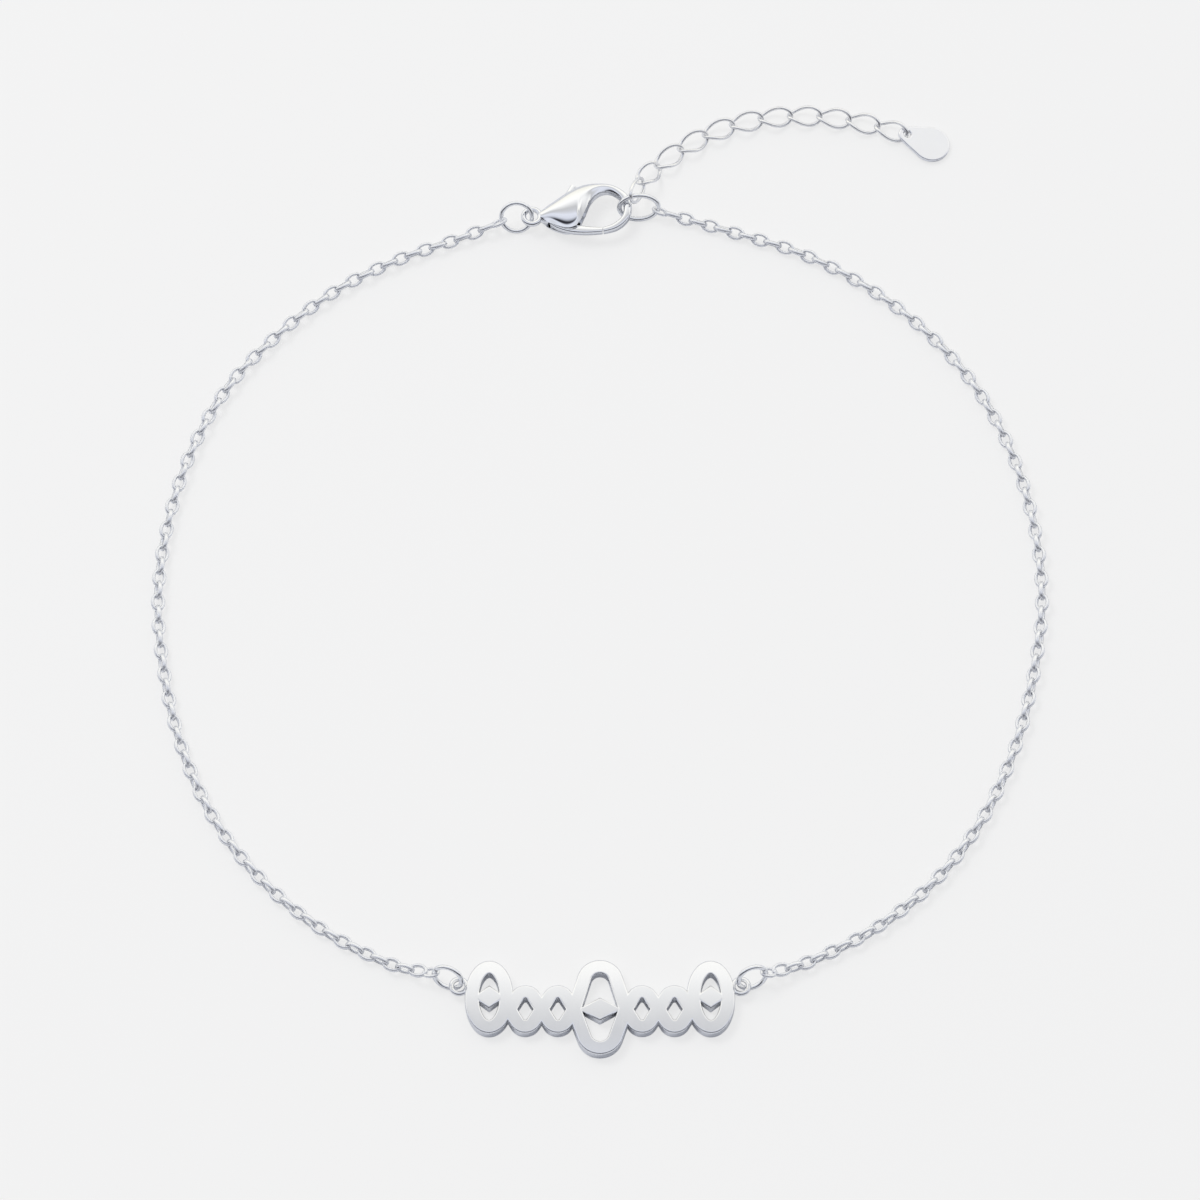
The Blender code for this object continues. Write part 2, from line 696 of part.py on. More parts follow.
def make_extender(ring, turn, bracelet):
    """The curb links from the end ring to the tag. It returns the last link's far end."""
    start = ring.point(turn)
    height = curb_height()
    route = [Vector((x * MM, y * MM, height)) for x, y in EXTENDER_ROUTE]
    fine = curve_through([start, *route], EXTENDER_WIRE)
    lengths = [0.0]
    for before, after in zip(fine, fine[1:]):
        lengths.append(lengths[-1] + (after - before).length)
    half_length = (EXTENDER_LINK_LENGTH - EXTENDER_WIRE) / 2
    pitch = EXTENDER_LINK_LENGTH - 2 * EXTENDER_WIRE - LINK_PLAY
    place = half_length - (EXTENDER_WIRE + ring.wire) / 2 - LINK_PLAY
    end = start
    for i in range(EXTENDER_LINKS):
        middle = point_at(fine, lengths, place + pitch * i)
        before = point_at(fine, lengths, place + pitch * i - half_length)
        after = point_at(fine, lengths, place + pitch * i + half_length)
        along = (after - before).normalized()
        flat = UP.cross(along).normalized()
        near, far = twisted(flat, EXTENDER_TWIST_NEAR), twisted(flat, EXTENDER_TWIST_FAR)
        if i == 0:
            near = far = ring.tangent(turn).cross(along).normalized()
        points = oval_link_points(middle, along, near, far, EXTENDER_LINK_LENGTH,
                                  EXTENDER_LINK_WIDTH, EXTENDER_WIRE)
        lift = UP * max(0.0, EXTENDER_WIRE / 2 - min(p.z for p in points))
        points = [p + lift for p in points]
        wire_object(f"extender_link_{i + 1:02d}", points, EXTENDER_WIRE, bracelet, True)
        end = middle + lift + along * half_length
    return end


def tag_outline(count=20):
    """A teardrop round its hole at (0, 0), with its round end on +X."""
    spread = math.acos((TAG_RADIUS - TAG_TIP_RADIUS) / TAG_REACH)
    outline = []
    for i in range(count + 1):
        turn = (math.pi - spread) * (2 * i / count - 1)
        outline.append(Vector((TAG_REACH + TAG_RADIUS * math.cos(turn),
                               TAG_RADIUS * math.sin(turn), 0.0)))
    for i in range(9):
        turn = math.pi - spread + 2 * spread * i / 8
        outline.append(Vector((TAG_TIP_RADIUS * math.cos(turn),
                               TAG_TIP_RADIUS * math.sin(turn), 0.0)))
    return outline


def make_tag(hole, bracelet):
    """The flat drop at the extender's end: its tip hangs on the last link, its end rests."""
    mesh = prism_mesh("tag", tag_outline(), -TAG_THICKNESS / 2, TAG_THICKNESS / 2)
    tag = add_object("tag", mesh, bracelet, (0.95, 0.95, 0.95), 0.12)
    circle = [Vector((math.cos(math.tau * i / 14), math.sin(math.tau * i / 14), 0.0))
              * TAG_HOLE_RADIUS for i in range(14)]
    drill = prism_mesh("tag_hole", circle, -TAG_THICKNESS, TAG_THICKNESS)
    cutter = add_object("tag_hole", drill, bracelet)
    combine(tag, cutter, "DIFFERENCE")
    reach = TAG_REACH + TAG_RADIUS
    dip = math.asin((hole.z - TAG_THICKNESS / 2) / reach)
    turn = Matrix.Rotation(TAG_HEADING, 4, "Z") @ Matrix.Rotation(dip, 4, "Y")
    for piece in (tag, cutter):
        piece.matrix_local = Matrix.Translation(hole) @ turn
    return tag


def centre_on_origin(bracelet):
    """Moves the empty so that the middle of the bounding box stands on the world's origin."""
    bpy.context.view_layer.update()
    graph = bpy.context.evaluated_depsgraph_get()
    corners = []
    for piece in bpy.context.scene.objects:
        if piece.type in ("MESH", "CURVE") and not piece.hide_render:
            shape = piece.evaluated_get(graph)
            corners += [shape.matrix_world @ vertex.co for vertex in shape.to_mesh().vertices]
            shape.to_mesh_clear()
    for axis in (0, 1):
        low = min(corner[axis] for corner in corners)
        high = max(corner[axis] for corner in corners)
        bracelet.location[axis] = -(low + high) / 2
    bpy.context.view_layer.update()


def main():
    clear_scene()
    bracelet = bpy.data.objects.new("bracelet", None)
    bpy.context.scene.collection.objects.link(bracelet)
    make_name_plate(bracelet)
    make_clasp_body(bracelet)
    make_clasp_lever(bracelet)
    rings = {
        "plate_ring_left": plate_ring(-1),
        "plate_ring_right": plate_ring(1),
        "clasp_ring": clasp_ring(),
        "end_ring": end_ring(),
    }
    for name, ring in rings.items():
        make_ring(name, ring, bracelet)
    top_left = make_end_link("end_link_clasp", rings["clasp_ring"], math.radians(195),
                             LEFT_ROUTE[0], bracelet)
    low_left = make_end_link("end_link_plate_left", rings["plate_ring_left"],
                             math.radians(180), LEFT_ROUTE[-1], bracelet)
    top_right = make_end_link("end_link_end_ring", rings["end_ring"], math.radians(-18),
                              RIGHT_ROUTE[0], bracelet)
    low_right = make_end_link("end_link_plate_right", rings["plate_ring_right"],
                              math.radians(180), RIGHT_ROUTE[-1], bracelet)
    make_chain("chain_left", top_left, LEFT_ROUTE, low_left, bracelet)
    make_chain("chain_right", top_right, RIGHT_ROUTE, low_right, bracelet)
    last = make_extender(rings["end_ring"], math.radians(108), bracelet)
    make_tag(last, bracelet)
    centre_on_origin(bracelet)


main()
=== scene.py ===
# %% [markdown]
# # A silver name bracelet, dressed on its frame
# The bracelet lies closed on a pale surface: a pierced plate, two lengths of fine cable chain,
# a lobster clasp, jump rings, a curb extender and a small drop. The frame holds its solids at
# their real size and place, in metres. This script keeps every piece where the frame has it and
# gives it the finer shape and the finish that the solids leave out.

# %% The frame
import json
import math

import bmesh
import bpy
import numpy as np
from mathutils import Matrix, Vector

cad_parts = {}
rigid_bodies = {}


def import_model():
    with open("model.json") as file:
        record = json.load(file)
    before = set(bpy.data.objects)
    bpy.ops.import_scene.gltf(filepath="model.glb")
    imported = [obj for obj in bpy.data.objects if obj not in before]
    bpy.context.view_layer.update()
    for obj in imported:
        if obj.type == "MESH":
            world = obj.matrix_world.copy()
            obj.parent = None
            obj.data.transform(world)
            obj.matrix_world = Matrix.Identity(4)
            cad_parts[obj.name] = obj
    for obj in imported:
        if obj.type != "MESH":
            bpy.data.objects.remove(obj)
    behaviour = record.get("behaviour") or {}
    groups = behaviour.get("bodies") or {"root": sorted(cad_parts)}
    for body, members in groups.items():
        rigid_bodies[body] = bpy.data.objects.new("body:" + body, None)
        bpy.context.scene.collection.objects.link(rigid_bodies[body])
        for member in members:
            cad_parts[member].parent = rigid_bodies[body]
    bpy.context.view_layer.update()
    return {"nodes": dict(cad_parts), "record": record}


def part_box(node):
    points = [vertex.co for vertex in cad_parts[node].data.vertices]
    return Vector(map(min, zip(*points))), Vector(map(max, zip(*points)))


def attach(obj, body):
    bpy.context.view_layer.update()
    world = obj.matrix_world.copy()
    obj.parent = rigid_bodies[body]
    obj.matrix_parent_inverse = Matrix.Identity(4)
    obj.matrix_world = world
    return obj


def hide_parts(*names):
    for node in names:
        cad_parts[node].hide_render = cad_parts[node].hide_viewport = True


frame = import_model()
MM = 0.001
UP = Vector((0.0, 0.0, 1.0))
print("nodes in the frame:", len(frame["nodes"]))

# %% [markdown]
# ## Where the loop's middle lies
# Every place below is told from the middle of the loop of chain. The plate's back is a mount of
# the record, and the plate lies a known way below the loop's middle, so the middle follows.

# %% The loop's middle
PLATE_DROP = 31.2 * MM
plate_back = Vector(frame["record"]["mounts"][0]["pos_m"])
loop_middle = plate_back + Vector((0.0, PLATE_DROP, 0.0))
print("loop's middle in mm:", [round(value / MM, 2) for value in loop_middle])

# %% [markdown]
# ## Objects and carriers
# Every object below is added in the same way. A carrier is a helper: it holds a curve or a mesh
# until its finished shape is copied into a plain mesh, and then it goes.

# %% Objects and carriers


def add_object(name, data):
    added = bpy.data.objects.new(name, data)
    bpy.context.scene.collection.objects.link(added)
    return added


def finished_mesh(carrier):
    graph = bpy.context.evaluated_depsgraph_get()
    mesh = bpy.data.meshes.new_from_object(carrier.evaluated_get(graph))
    bpy.data.objects.remove(carrier)
    return mesh


# %% [markdown]
# ## The camera
# The picture was taken with a long lens from in front and well above, so that the loop looks a
# little flattened. A view of 84 mm across at the loop's middle, from 430 mm away, gives the same
# framing. Its direction is kept as a vector, since the chain's links were laid to face it.

# %% The camera
CAMERA_ELEVATION = math.radians(64)
CAMERA_DISTANCE = 430 * MM
VIEW_WIDTH = 84 * MM
to_camera = Vector((0.0, -math.cos(CAMERA_ELEVATION), math.sin(CAMERA_ELEVATION)))


def make_camera():
    lens = bpy.data.cameras.new("camera")
    lens.lens = lens.sensor_width * CAMERA_DISTANCE / VIEW_WIDTH
    lens.clip_start = 10 * MM
    lens.clip_end = 10.0
    camera = add_object("camera", lens)
    camera.location = loop_middle + to_camera * CAMERA_DISTANCE
    camera.rotation_euler = (-to_camera).to_track_quat("-Z", "Y").to_euler()
    bpy.context.scene.camera = camera
    return camera


print("focal length in mm:", round(make_camera().data.lens, 1))

# %% [markdown]
# ## Node trees in a few words
# Most of what follows is built with nodes, both the shapes and the finishes. Three small helpers
# keep those parts short: one adds a node with its settings and inputs, one adds a calculation,
# and one starts a group with its named inputs and outputs.

# %% Helpers for node trees


def add_node(tree, kind, inputs=(), **settings):
    """A new node. `inputs` pairs a socket's name or number with a value or another socket."""
    node = tree.nodes.new(kind)
    for key, value in settings.items():
        setattr(node, key, value)
    for key, value in dict(inputs).items():
        if isinstance(value, bpy.types.NodeSocket):
            tree.links.new(value, node.inputs[key])
        else:
            node.inputs[key].default_value = value
    return node


def calculate(tree, operation, *values):
    """A Math node's result."""
    return add_node(tree, "ShaderNodeMath", enumerate(values), operation=operation).outputs[0]


def new_group(name, kind, inputs, outputs):
    """A group with its inputs and outputs, from (name, kind, value) rows, and both inner ends."""
    tree = bpy.data.node_groups.new(name, kind)
    for way, sockets in (("INPUT", inputs), ("OUTPUT", outputs)):
        for label, sort, value in sockets:
            socket = tree.interface.new_socket(label, in_out=way, socket_type="NodeSocket" + sort)
            if value is not None:
                socket.default_value = value
    given = tree.nodes.new("NodeGroupInput").outputs
    return tree, given, tree.nodes.new("NodeGroupOutput").inputs


# %% [markdown]
# ## Silver
# Polished sterling silver is a nearly white metal, and what makes it look real is what a cloth
# and a wheel leave on it: hair-fine scratches, a faint haze, and a slow waviness that bends the
# reflections. One group makes these three effects from each piece's own coordinates, and every
# silver below uses it with its own amounts.

# %% The hand polish group


def make_hand_polish():
    tree, given, result = new_group("hand polish", "ShaderNodeTree", (
        ("Vector", "Vector", None), ("Light Silver", "Color", (0.97, 0.97, 0.97, 1.0)),
        ("Dark Silver", "Color", (0.88, 0.89, 0.91, 1.0)), ("Smooth", "Float", 0.06),
        ("Haze", "Float", 0.08), ("Hair Size", "Float", 0.06), ("Hair Length", "Float", 8.0),
        ("Hair Depth", "Float", 0.02), ("Waves Size", "Float", 2.0), ("Waves", "Float", 0.5),
    ), (
        ("Color", "Color", None), ("Roughness", "Float", None), ("Height", "Float", None),
    ))
    hair_scale = calculate(tree, "DIVIDE", 1000.0, given["Hair Size"])
    long_scale = calculate(tree, "DIVIDE", hair_scale, given["Hair Length"])
    stretch = add_node(tree, "ShaderNodeCombineXYZ", {0: hair_scale, 1: long_scale, 2: hair_scale})
    stretched = add_node(tree, "ShaderNodeVectorMath", {
        0: given["Vector"], 1: stretch.outputs[0]}, operation="MULTIPLY")
    hairs = add_node(tree, "ShaderNodeTexNoise", {
        "Vector": stretched.outputs[0], "Scale": 1.0, "Detail": 3.0, "Roughness": 0.6})
    wave_scale = calculate(tree, "DIVIDE", 1000.0, given["Waves Size"])
    waves = add_node(tree, "ShaderNodeTexNoise", {
        "Vector": given["Vector"], "Scale": wave_scale, "Detail": 1.0, "Roughness": 0.4})
    haze = add_node(tree, "ShaderNodeTexNoise", {
        "Vector": given["Vector"], "Scale": wave_scale, "Detail": 5.0, "Roughness": 0.7})
    colour = add_node(tree, "ShaderNodeMix", {
        0: haze.outputs["Fac"], 6: given["Dark Silver"], 7: given["Light Silver"]}, data_type="RGBA")
    patches = calculate(tree, "MULTIPLY", haze.outputs["Fac"], given["Haze"])
    fine = calculate(tree, "MULTIPLY", hairs.outputs["Fac"], given["Haze"])
    rough = calculate(tree, "ADD", given["Smooth"], calculate(tree, "ADD", patches, fine))
    broad = calculate(tree, "MULTIPLY", waves.outputs["Fac"], given["Waves"])
    height = calculate(tree, "MULTIPLY_ADD", hairs.outputs["Fac"], given["Hair Depth"], broad)
    tree.links.new(colour.outputs[2], result["Color"])
    tree.links.new(rough, result["Roughness"])
    tree.links.new(height, result["Height"])
    return tree


hand_polish = make_hand_polish()
print("hand polish has", len(hand_polish.nodes), "nodes")

# %% [markdown]
# A silver is then one Principled BSDF that is all metal, fed by the group. The bump's distance is
# in metres, so the waves of a few thousandths of a millimetre stay as slight as they are on a
# polished piece. The plate also has a crown, a bend of its normals as if its face fell away from
# the middle line.

# %% The silvers
WAVE_HEIGHT = 0.01 * MM
WHITE = (1.0, 1.0, 1.0, 1.0)


def make_silver(name, crown=0.0, crown_middle=0.0, **amounts):
    """A silver. `crown` is how much a broad face falls away from its middle, per metre squared."""
    material = bpy.data.materials.new(name)
    material.use_nodes = True
    tree = material.node_tree
    shader = tree.nodes["Principled BSDF"]
    shader.inputs["Metallic"].default_value = 1.0
    place = tree.nodes.new("ShaderNodeTexCoord").outputs["Object"]
    named = {label.replace("_", " ").title(): value for label, value in amounts.items()}
    polish = add_node(tree, "ShaderNodeGroup", {"Vector": place, **named}, node_tree=hand_polish)
    bump = add_node(tree, "ShaderNodeBump", {
        "Height": polish.outputs["Height"], "Distance": WAVE_HEIGHT, "Strength": 1.0})
    if crown:
        across = add_node(tree, "ShaderNodeSeparateXYZ", {0: place}).outputs["Y"]
        away = calculate(tree, "SUBTRACT", across, crown_middle)
        fall = calculate(tree, "MULTIPLY", calculate(tree, "MULTIPLY", away, away), -crown)
        domed = add_node(tree, "ShaderNodeBump", {"Height": fall, "Distance": 1.0, "Strength": 1.0})
        tree.links.new(domed.outputs["Normal"], bump.inputs["Normal"])
    tree.links.new(polish.outputs["Color"], shader.inputs["Base Color"])
    tree.links.new(polish.outputs["Roughness"], shader.inputs["Roughness"])
    tree.links.new(bump.outputs["Normal"], shader.inputs["Normal"])
    return material


PLATE_CROWN = 20.0
plate_silver = make_silver("plate silver", crown=PLATE_CROWN, crown_middle=plate_back.y, smooth=0.12,
                           haze=0.12, waves_size=3.0, waves=0.4, hair_size=0.07, hair_length=30.0,
                           hair_depth=0.12)
chain_silver = make_silver("chain silver", smooth=0.34, haze=0.08, waves_size=0.8, waves=0.1,
                           light_silver=WHITE, dark_silver=(0.94, 0.95, 0.98, 1.0))
ring_silver = make_silver("ring silver", smooth=0.16, haze=0.08, waves_size=1.0, waves=0.15,
                          light_silver=WHITE, dark_silver=(0.94, 0.95, 0.97, 1.0))
clasp_silver = make_silver("clasp silver", smooth=0.02, haze=0.04, waves_size=2.0, waves=0.4)
extender_silver = make_silver("extender silver", smooth=0.22, haze=0.08, waves_size=1.0, waves=0.15,
                              light_silver=(1.0, 0.995, 0.98, 1.0), dark_silver=(0.95, 0.95, 0.96, 1.0))
tag_silver = make_silver("tag silver", smooth=0.14, haze=0.1, waves_size=1.5, waves=0.5,
                         light_silver=WHITE, dark_silver=(0.97, 0.975, 1.0, 1.0))
print("silvers:", [m.name for m in bpy.data.materials if m.name.endswith("silver")])

# %% [markdown]
# ## Keeping what a tree makes
# A Geometry Nodes tree works on a curve here. Each input is set by its socket's identifier before
# the first evaluation, and the finished mesh becomes the piece. Each tree ends in the same way:
# its instances are made real and its silver is set.

# %% From a tree to a piece


def add_piece(name, mesh, body, slot, *nodes):
    piece = add_object(name, mesh)
    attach(piece, body)
    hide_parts(*nodes)
    return piece


def grown_mesh(carrier, tree, values):
    modifier = carrier.modifiers.new(tree.name, "NODES")
    modifier.node_group = tree
    for socket in tree.interface.items_tree:
        if socket.in_out == "INPUT" and socket.name in values:
            modifier[socket.identifier] = values[socket.name]
    return finished_mesh(carrier)


def end_tree(tree, shape, given, result):
    real = add_node(tree, "GeometryNodeRealizeInstances", {0: shape})
    dressed = add_node(tree, "GeometryNodeSetMaterial", {
        "Geometry": real.outputs[0], "Material": given["Silver"]})
    tree.links.new(dressed.outputs[0], result["Mesh"])


def poly_curve(name, paths, closed, dimensions="3D"):
    """A curve with one straight-sided spline for each list of points."""
    curve = bpy.data.curves.new(name, "CURVE")
    curve.dimensions = dimensions
    for path in paths:
        spline = curve.splines.new("POLY")
        spline.points.add(len(path) - 1)
        for point, place in zip(spline.points, path):
            point.co = (*place, 1.0)
        spline.use_cyclic_u = closed
    return add_object(name, curve)


def oval_line(middle, along, across, count):
    """The closed line of an oval, from its middle and its two half axes."""
    turns = [math.tau * i / count for i in range(count)]
    return [middle + along * math.cos(turn) + across * math.sin(turn) for turn in turns]


# %% [markdown]
# ## Bent wire
# Jump rings, eyelets and the larger links are all wire bent along a line. One tree sweeps a round
# profile along any line, which keeps every wire in the object alike. A helper adds such a piece.

# %% The bent wire tree


def make_bent_wire():
    tree, given, result = new_group("bent wire", "GeometryNodeTree", (
        ("Line", "Geometry", None), ("Wire", "Float", 0.3 * MM), ("Sides", "Int", 12),
        ("Silver", "Material", None),
    ), (("Mesh", "Geometry", None),))
    radius = calculate(tree, "MULTIPLY", given["Wire"], 0.5)
    profile = add_node(tree, "GeometryNodeCurvePrimitiveCircle", {
        "Resolution": given["Sides"], "Radius": radius})
    swept = add_node(tree, "GeometryNodeCurveToMesh", {
        "Curve": given["Line"], "Profile Curve": profile.outputs["Curve"], "Fill Caps": True})
    smooth = add_node(tree, "GeometryNodeSetShadeSmooth", {0: swept.outputs[0]})
    end_tree(tree, smooth.outputs[0], given, result)
    return tree


def add_wire(name, lines, closed, wire, sides, silver, slot, *nodes):
    """A piece of round wire along one line or more."""
    mesh = grown_mesh(poly_curve(name, lines, closed), bent_wire, {
        "Wire": wire, "Sides": sides, "Silver": silver})
    add_piece(name, mesh, "bracelet", slot, *nodes)
    print(name, len(mesh.polygons), "faces")


bent_wire = make_bent_wire()
print("bent wire inputs:", [s.name for s in bent_wire.interface.items_tree])

# %% [markdown]
# ## Reading how a piece lies
# The solids of rings and links are plain ovals, so the spread of their points tells how they lie:
# the longest spread is along the oval, the next across it, and the shortest is the wire itself.

# %% How a piece lies


class Lay:
    """A node's middle, its axes from the longest to the shortest, and its half sizes on them."""

    def __init__(self, node):
        corners = np.array([v.co for v in frame["nodes"][node].data.vertices])
        corners = np.unique(np.round(corners, 7), axis=0)
        middle = corners.mean(axis=0)
        axes = np.linalg.svd(corners - middle, full_matrices=False)[2]
        halves = np.abs((corners - middle) @ axes.T).max(axis=0)
        self.middle = Vector(middle)
        self.axes = [Vector(axis) for axis in axes]
        self.halves = [float(half) for half in halves]
        self.wire = 2 * self.halves[2]


left_ring = Lay("plate_ring_left")
print("left plate ring: wire", round(left_ring.wire / MM, 3), "mm")

# %% [markdown]
# ## Jump rings
# A jump ring is a turn of wire that is cut, twisted open, and closed again round what it holds.
# The cut stays visible as a thin slit whose two ends lie a little to the side of each other. The
# line of each ring runs from one end to the other, with that small side step.

# %% Jump rings
SLIT = 0.05 * MM
RING_POINTS = 64


def open_ring(lay, slit_way, side_step):
    """The line of a ring whose slit faces `slit_way`, its ends apart sideways by `side_step`."""
    along, across, through = lay.axes
    half_along = lay.halves[0] - lay.wire / 2
    half_across = lay.halves[1] - lay.wire / 2
    middle_turn = math.atan2(slit_way.dot(across) / half_across, slit_way.dot(along) / half_along)
    gap = SLIT / min(half_along, half_across)
    points = []
    for i in range(RING_POINTS + 1):
        share = i / RING_POINTS
        turn = middle_turn + gap / 2 + (math.tau - gap) * share
        points.append(lay.middle + along * half_along * math.cos(turn)
                      + across * half_across * math.sin(turn) + through * side_step * (share - 0.5))
    return points


JUMP_RINGS = (
    ("clasp_ring", Vector((0.45, 0.9, 0.0)), 0.1 * MM),
    ("plate_ring_left", Vector((-0.8, 0.2, 0.5)), 0.04 * MM),
    ("plate_ring_right", Vector((0.8, 0.2, 0.5)), 0.04 * MM),
    ("end_ring", Vector((0.9, 0.0, 0.0)), 0.05 * MM),
)
for node, slit_way, side_step in JUMP_RINGS:
    lay = Lay(node)
    line = open_ring(lay, slit_way, side_step)
    add_wire(node + "_wire", [line], False, lay.wire, 16, ring_silver, "silver_rings", node)

# %% [markdown]
# ## The fine chain
# A cable chain is one oval link repeated, each turned a quarter round the chain's line from the
# last. A tree lays the links at even steps along the route. Here the links were laid so that
# every other one faces the camera near the clasp, and the chain rolls over slowly towards the
# plate. A little random roll, with a fixed seed, keeps it from looking stamped.

# %% The chain tree


def make_link_chain():
    tree, given, result = new_group("link chain", "GeometryNodeTree", (
        ("Route", "Geometry", None), ("Links", "Int", 60), ("Link Length", "Float", 1.3 * MM),
        ("Link Width", "Float", 1.0 * MM), ("Wire", "Float", 0.25 * MM),
        ("Wire Breadth", "Float", 0.4 * MM), ("Facing", "Vector", None),
        ("First Roll", "Float", 0.0), ("Last Roll", "Float", 0.0), ("Roll Spread", "Float", 0.1),
        ("Seed", "Int", 1), ("Silver", "Material", None),
    ), (("Mesh", "Geometry", None),))
    link = one_link(tree, given)
    steps = calculate(tree, "ADD", given["Links"], 2)
    points = add_node(tree, "GeometryNodeCurveToPoints", {"Curve": given["Route"], "Count": steps})
    index = tree.nodes.new("GeometryNodeInputIndex").outputs[0]
    after_first = calculate(tree, "GREATER_THAN", index, 0.5)
    before_last = calculate(tree, "LESS_THAN", index, calculate(tree, "ADD", given["Links"], 0.5))
    inner = calculate(tree, "MULTIPLY", after_first, before_last)
    facing = add_node(tree, "FunctionNodeAxesToRotation", {
        "Primary Axis": points.outputs["Tangent"], "Secondary Axis": given["Facing"]},
        primary_axis="Z", secondary_axis="Y")
    turned = add_node(tree, "FunctionNodeRotateRotation", {
        "Rotation": facing.outputs[0], "Rotate By": link_roll(tree, given, index)},
        rotation_space="LOCAL")
    laid = add_node(tree, "GeometryNodeInstanceOnPoints", {
        "Points": points.outputs["Points"], "Selection": inner, "Instance": link,
        "Rotation": turned.outputs[0]})
    end_tree(tree, laid.outputs[0], given, result)
    return tree


def one_link(tree, given):
    """One oval link, as long as Link Length on its Z axis, its wire broader than it is thick."""
    position = tree.nodes.new("GeometryNodeInputPosition").outputs[0]
    place = add_node(tree, "ShaderNodeSeparateXYZ", {0: position})
    round_line = add_node(tree, "GeometryNodeCurvePrimitiveCircle", {"Resolution": 16, "Radius": 1.0})
    halves = []
    for name in ("Link Width", "Link Length"):
        inside = calculate(tree, "SUBTRACT", given[name], given["Wire"])
        halves.append(calculate(tree, "MULTIPLY", inside, 0.5))
    across = calculate(tree, "MULTIPLY", place.outputs["Y"], halves[0])
    along = calculate(tree, "MULTIPLY", place.outputs["X"], halves[1])
    oval = add_node(tree, "ShaderNodeCombineXYZ", {"X": across, "Z": along})
    line = add_node(tree, "GeometryNodeSetPosition", {
        "Geometry": round_line.outputs["Curve"], "Position": oval.outputs[0]})
    radius = calculate(tree, "MULTIPLY", given["Wire"], 0.5)
    profile = add_node(tree, "GeometryNodeCurvePrimitiveCircle", {"Resolution": 6, "Radius": radius})
    stretch = add_node(tree, "ShaderNodeCombineXYZ", {
        "X": calculate(tree, "DIVIDE", given["Wire Breadth"], given["Wire"]), "Y": 1.0, "Z": 1.0})
    broad = add_node(tree, "GeometryNodeTransform", {
        "Geometry": profile.outputs["Curve"], "Scale": stretch.outputs[0]})
    swept = add_node(tree, "GeometryNodeCurveToMesh", {
        "Curve": line.outputs[0], "Profile Curve": broad.outputs[0]})
    return add_node(tree, "GeometryNodeSetShadeSmooth", {0: swept.outputs[0]}).outputs[0]


def link_roll(tree, given, index):
    """Each link's turn round the chain's line."""
    quarter = calculate(tree, "MODULO", index, 2.0)
    share = calculate(tree, "DIVIDE", index, given["Links"])
    change = calculate(tree, "SUBTRACT", given["Last Roll"], given["First Roll"])
    slow = calculate(tree, "MULTIPLY_ADD", share, change, given["First Roll"])
    least = calculate(tree, "MULTIPLY", given["Roll Spread"], -1.0)
    chance = add_node(tree, "FunctionNodeRandomValue", {
        2: least, 3: given["Roll Spread"], "Seed": given["Seed"]}, data_type="FLOAT")
    roll = calculate(tree, "ADD", slow, chance.outputs[1])
    roll = calculate(tree, "MULTIPLY_ADD", quarter, math.pi / 2, roll)
    angles = add_node(tree, "ShaderNodeCombineXYZ", {"Z": roll})
    return add_node(tree, "FunctionNodeEulerToRotation", {0: angles.outputs[0]}).outputs[0]


link_chain = make_link_chain()
print("link chain inputs:", [s.name for s in link_chain.interface.items_tree])

# %% [markdown]
# The route of each length is a short list of points round the loop, in millimetres from its
# middle. The chain runs through them on a smooth curve, from the link round the clasp's ring, or
# the end ring, to the link round the plate's ring.

# %% The chain's routes
LEFT_ROUTE = (
    (-10.0, 28.75), (-14.2, 27.1), (-18.7, 24.6), (-22.8, 21.05), (-26.4, 16.7),
    (-28.9, 11.5), (-30.4, 5.7), (-30.9, -0.25), (-30.25, -6.2), (-28.8, -11.9),
    (-26.4, -17.2), (-23.0, -21.7), (-18.9, -25.25), (-14.3, -27.75),
)
RIGHT_ROUTE = (
    (7.1, 30.0), (9.6, 29.2), (14.4, 27.5), (18.9, 24.9), (23.1, 21.3), (26.6, 16.8),
    (29.05, 11.5), (30.5, 5.75), (30.9, -0.25), (30.1, -6.15), (28.6, -11.8),
    (26.2, -17.1), (22.9, -21.6), (18.8, -25.1), (14.2, -27.6),
)
LINK_LENGTH = 1.44 * MM
LINK_WIDTH = 1.02 * MM
LINK_WIRE = 0.24 * MM
LINK_BREADTH = 0.34 * MM
LINK_STEP = 0.95 * MM
CHAIN_HEIGHT = LINK_WIDTH / 2


def between(before, start, end, after, t):
    """What lies at share t from start to end, on a smooth curve through all four."""
    return start + 0.5 * t * (end - before + t * (
        2 * before - 5 * start + 4 * end - after + t * (3 * (start - end) + after - before)))


def smooth_line(points, parts=12):
    """Points on a smooth curve through the given ones."""
    ends = [2 * points[0] - points[1], *points, 2 * points[-1] - points[-2]]
    line = [between(*four, i / parts)
            for four in zip(ends, ends[1:], ends[2:], ends[3:]) for i in range(parts)]
    return line + [points[-1].copy()]


def chain_line(first_link, route, last_link):
    """The chain's line, which comes down from its end links to the height of a lying link."""
    middle = [loop_middle + Vector((x * MM, y * MM, CHAIN_HEIGHT)) for x, y in route]
    return smooth_line([Lay(first_link).middle, *middle, Lay(last_link).middle])


def line_length(points):
    return sum((end - start).length for start, end in zip(points, points[1:]))


chain_lines = {
    "chain_left": chain_line("end_link_clasp", LEFT_ROUTE, "end_link_plate_left"),
    "chain_right": chain_line("end_link_end_ring", RIGHT_ROUTE, "end_link_plate_right"),
}
for name, line in chain_lines.items():
    print(name, round(line_length(line) / MM, 1), "mm")

# %% [markdown]
# Each length now gets its links. Their number comes from the route's length and the step from
# link to link, and it is even, so that the first and the last stand across the end links. The
# two lengths roll over to opposite sides.

# %% Two lengths of chain
FIRST_ROLL = math.radians(5)
LAST_ROLL = math.radians(30)
ROLL_SPREAD = math.radians(7)


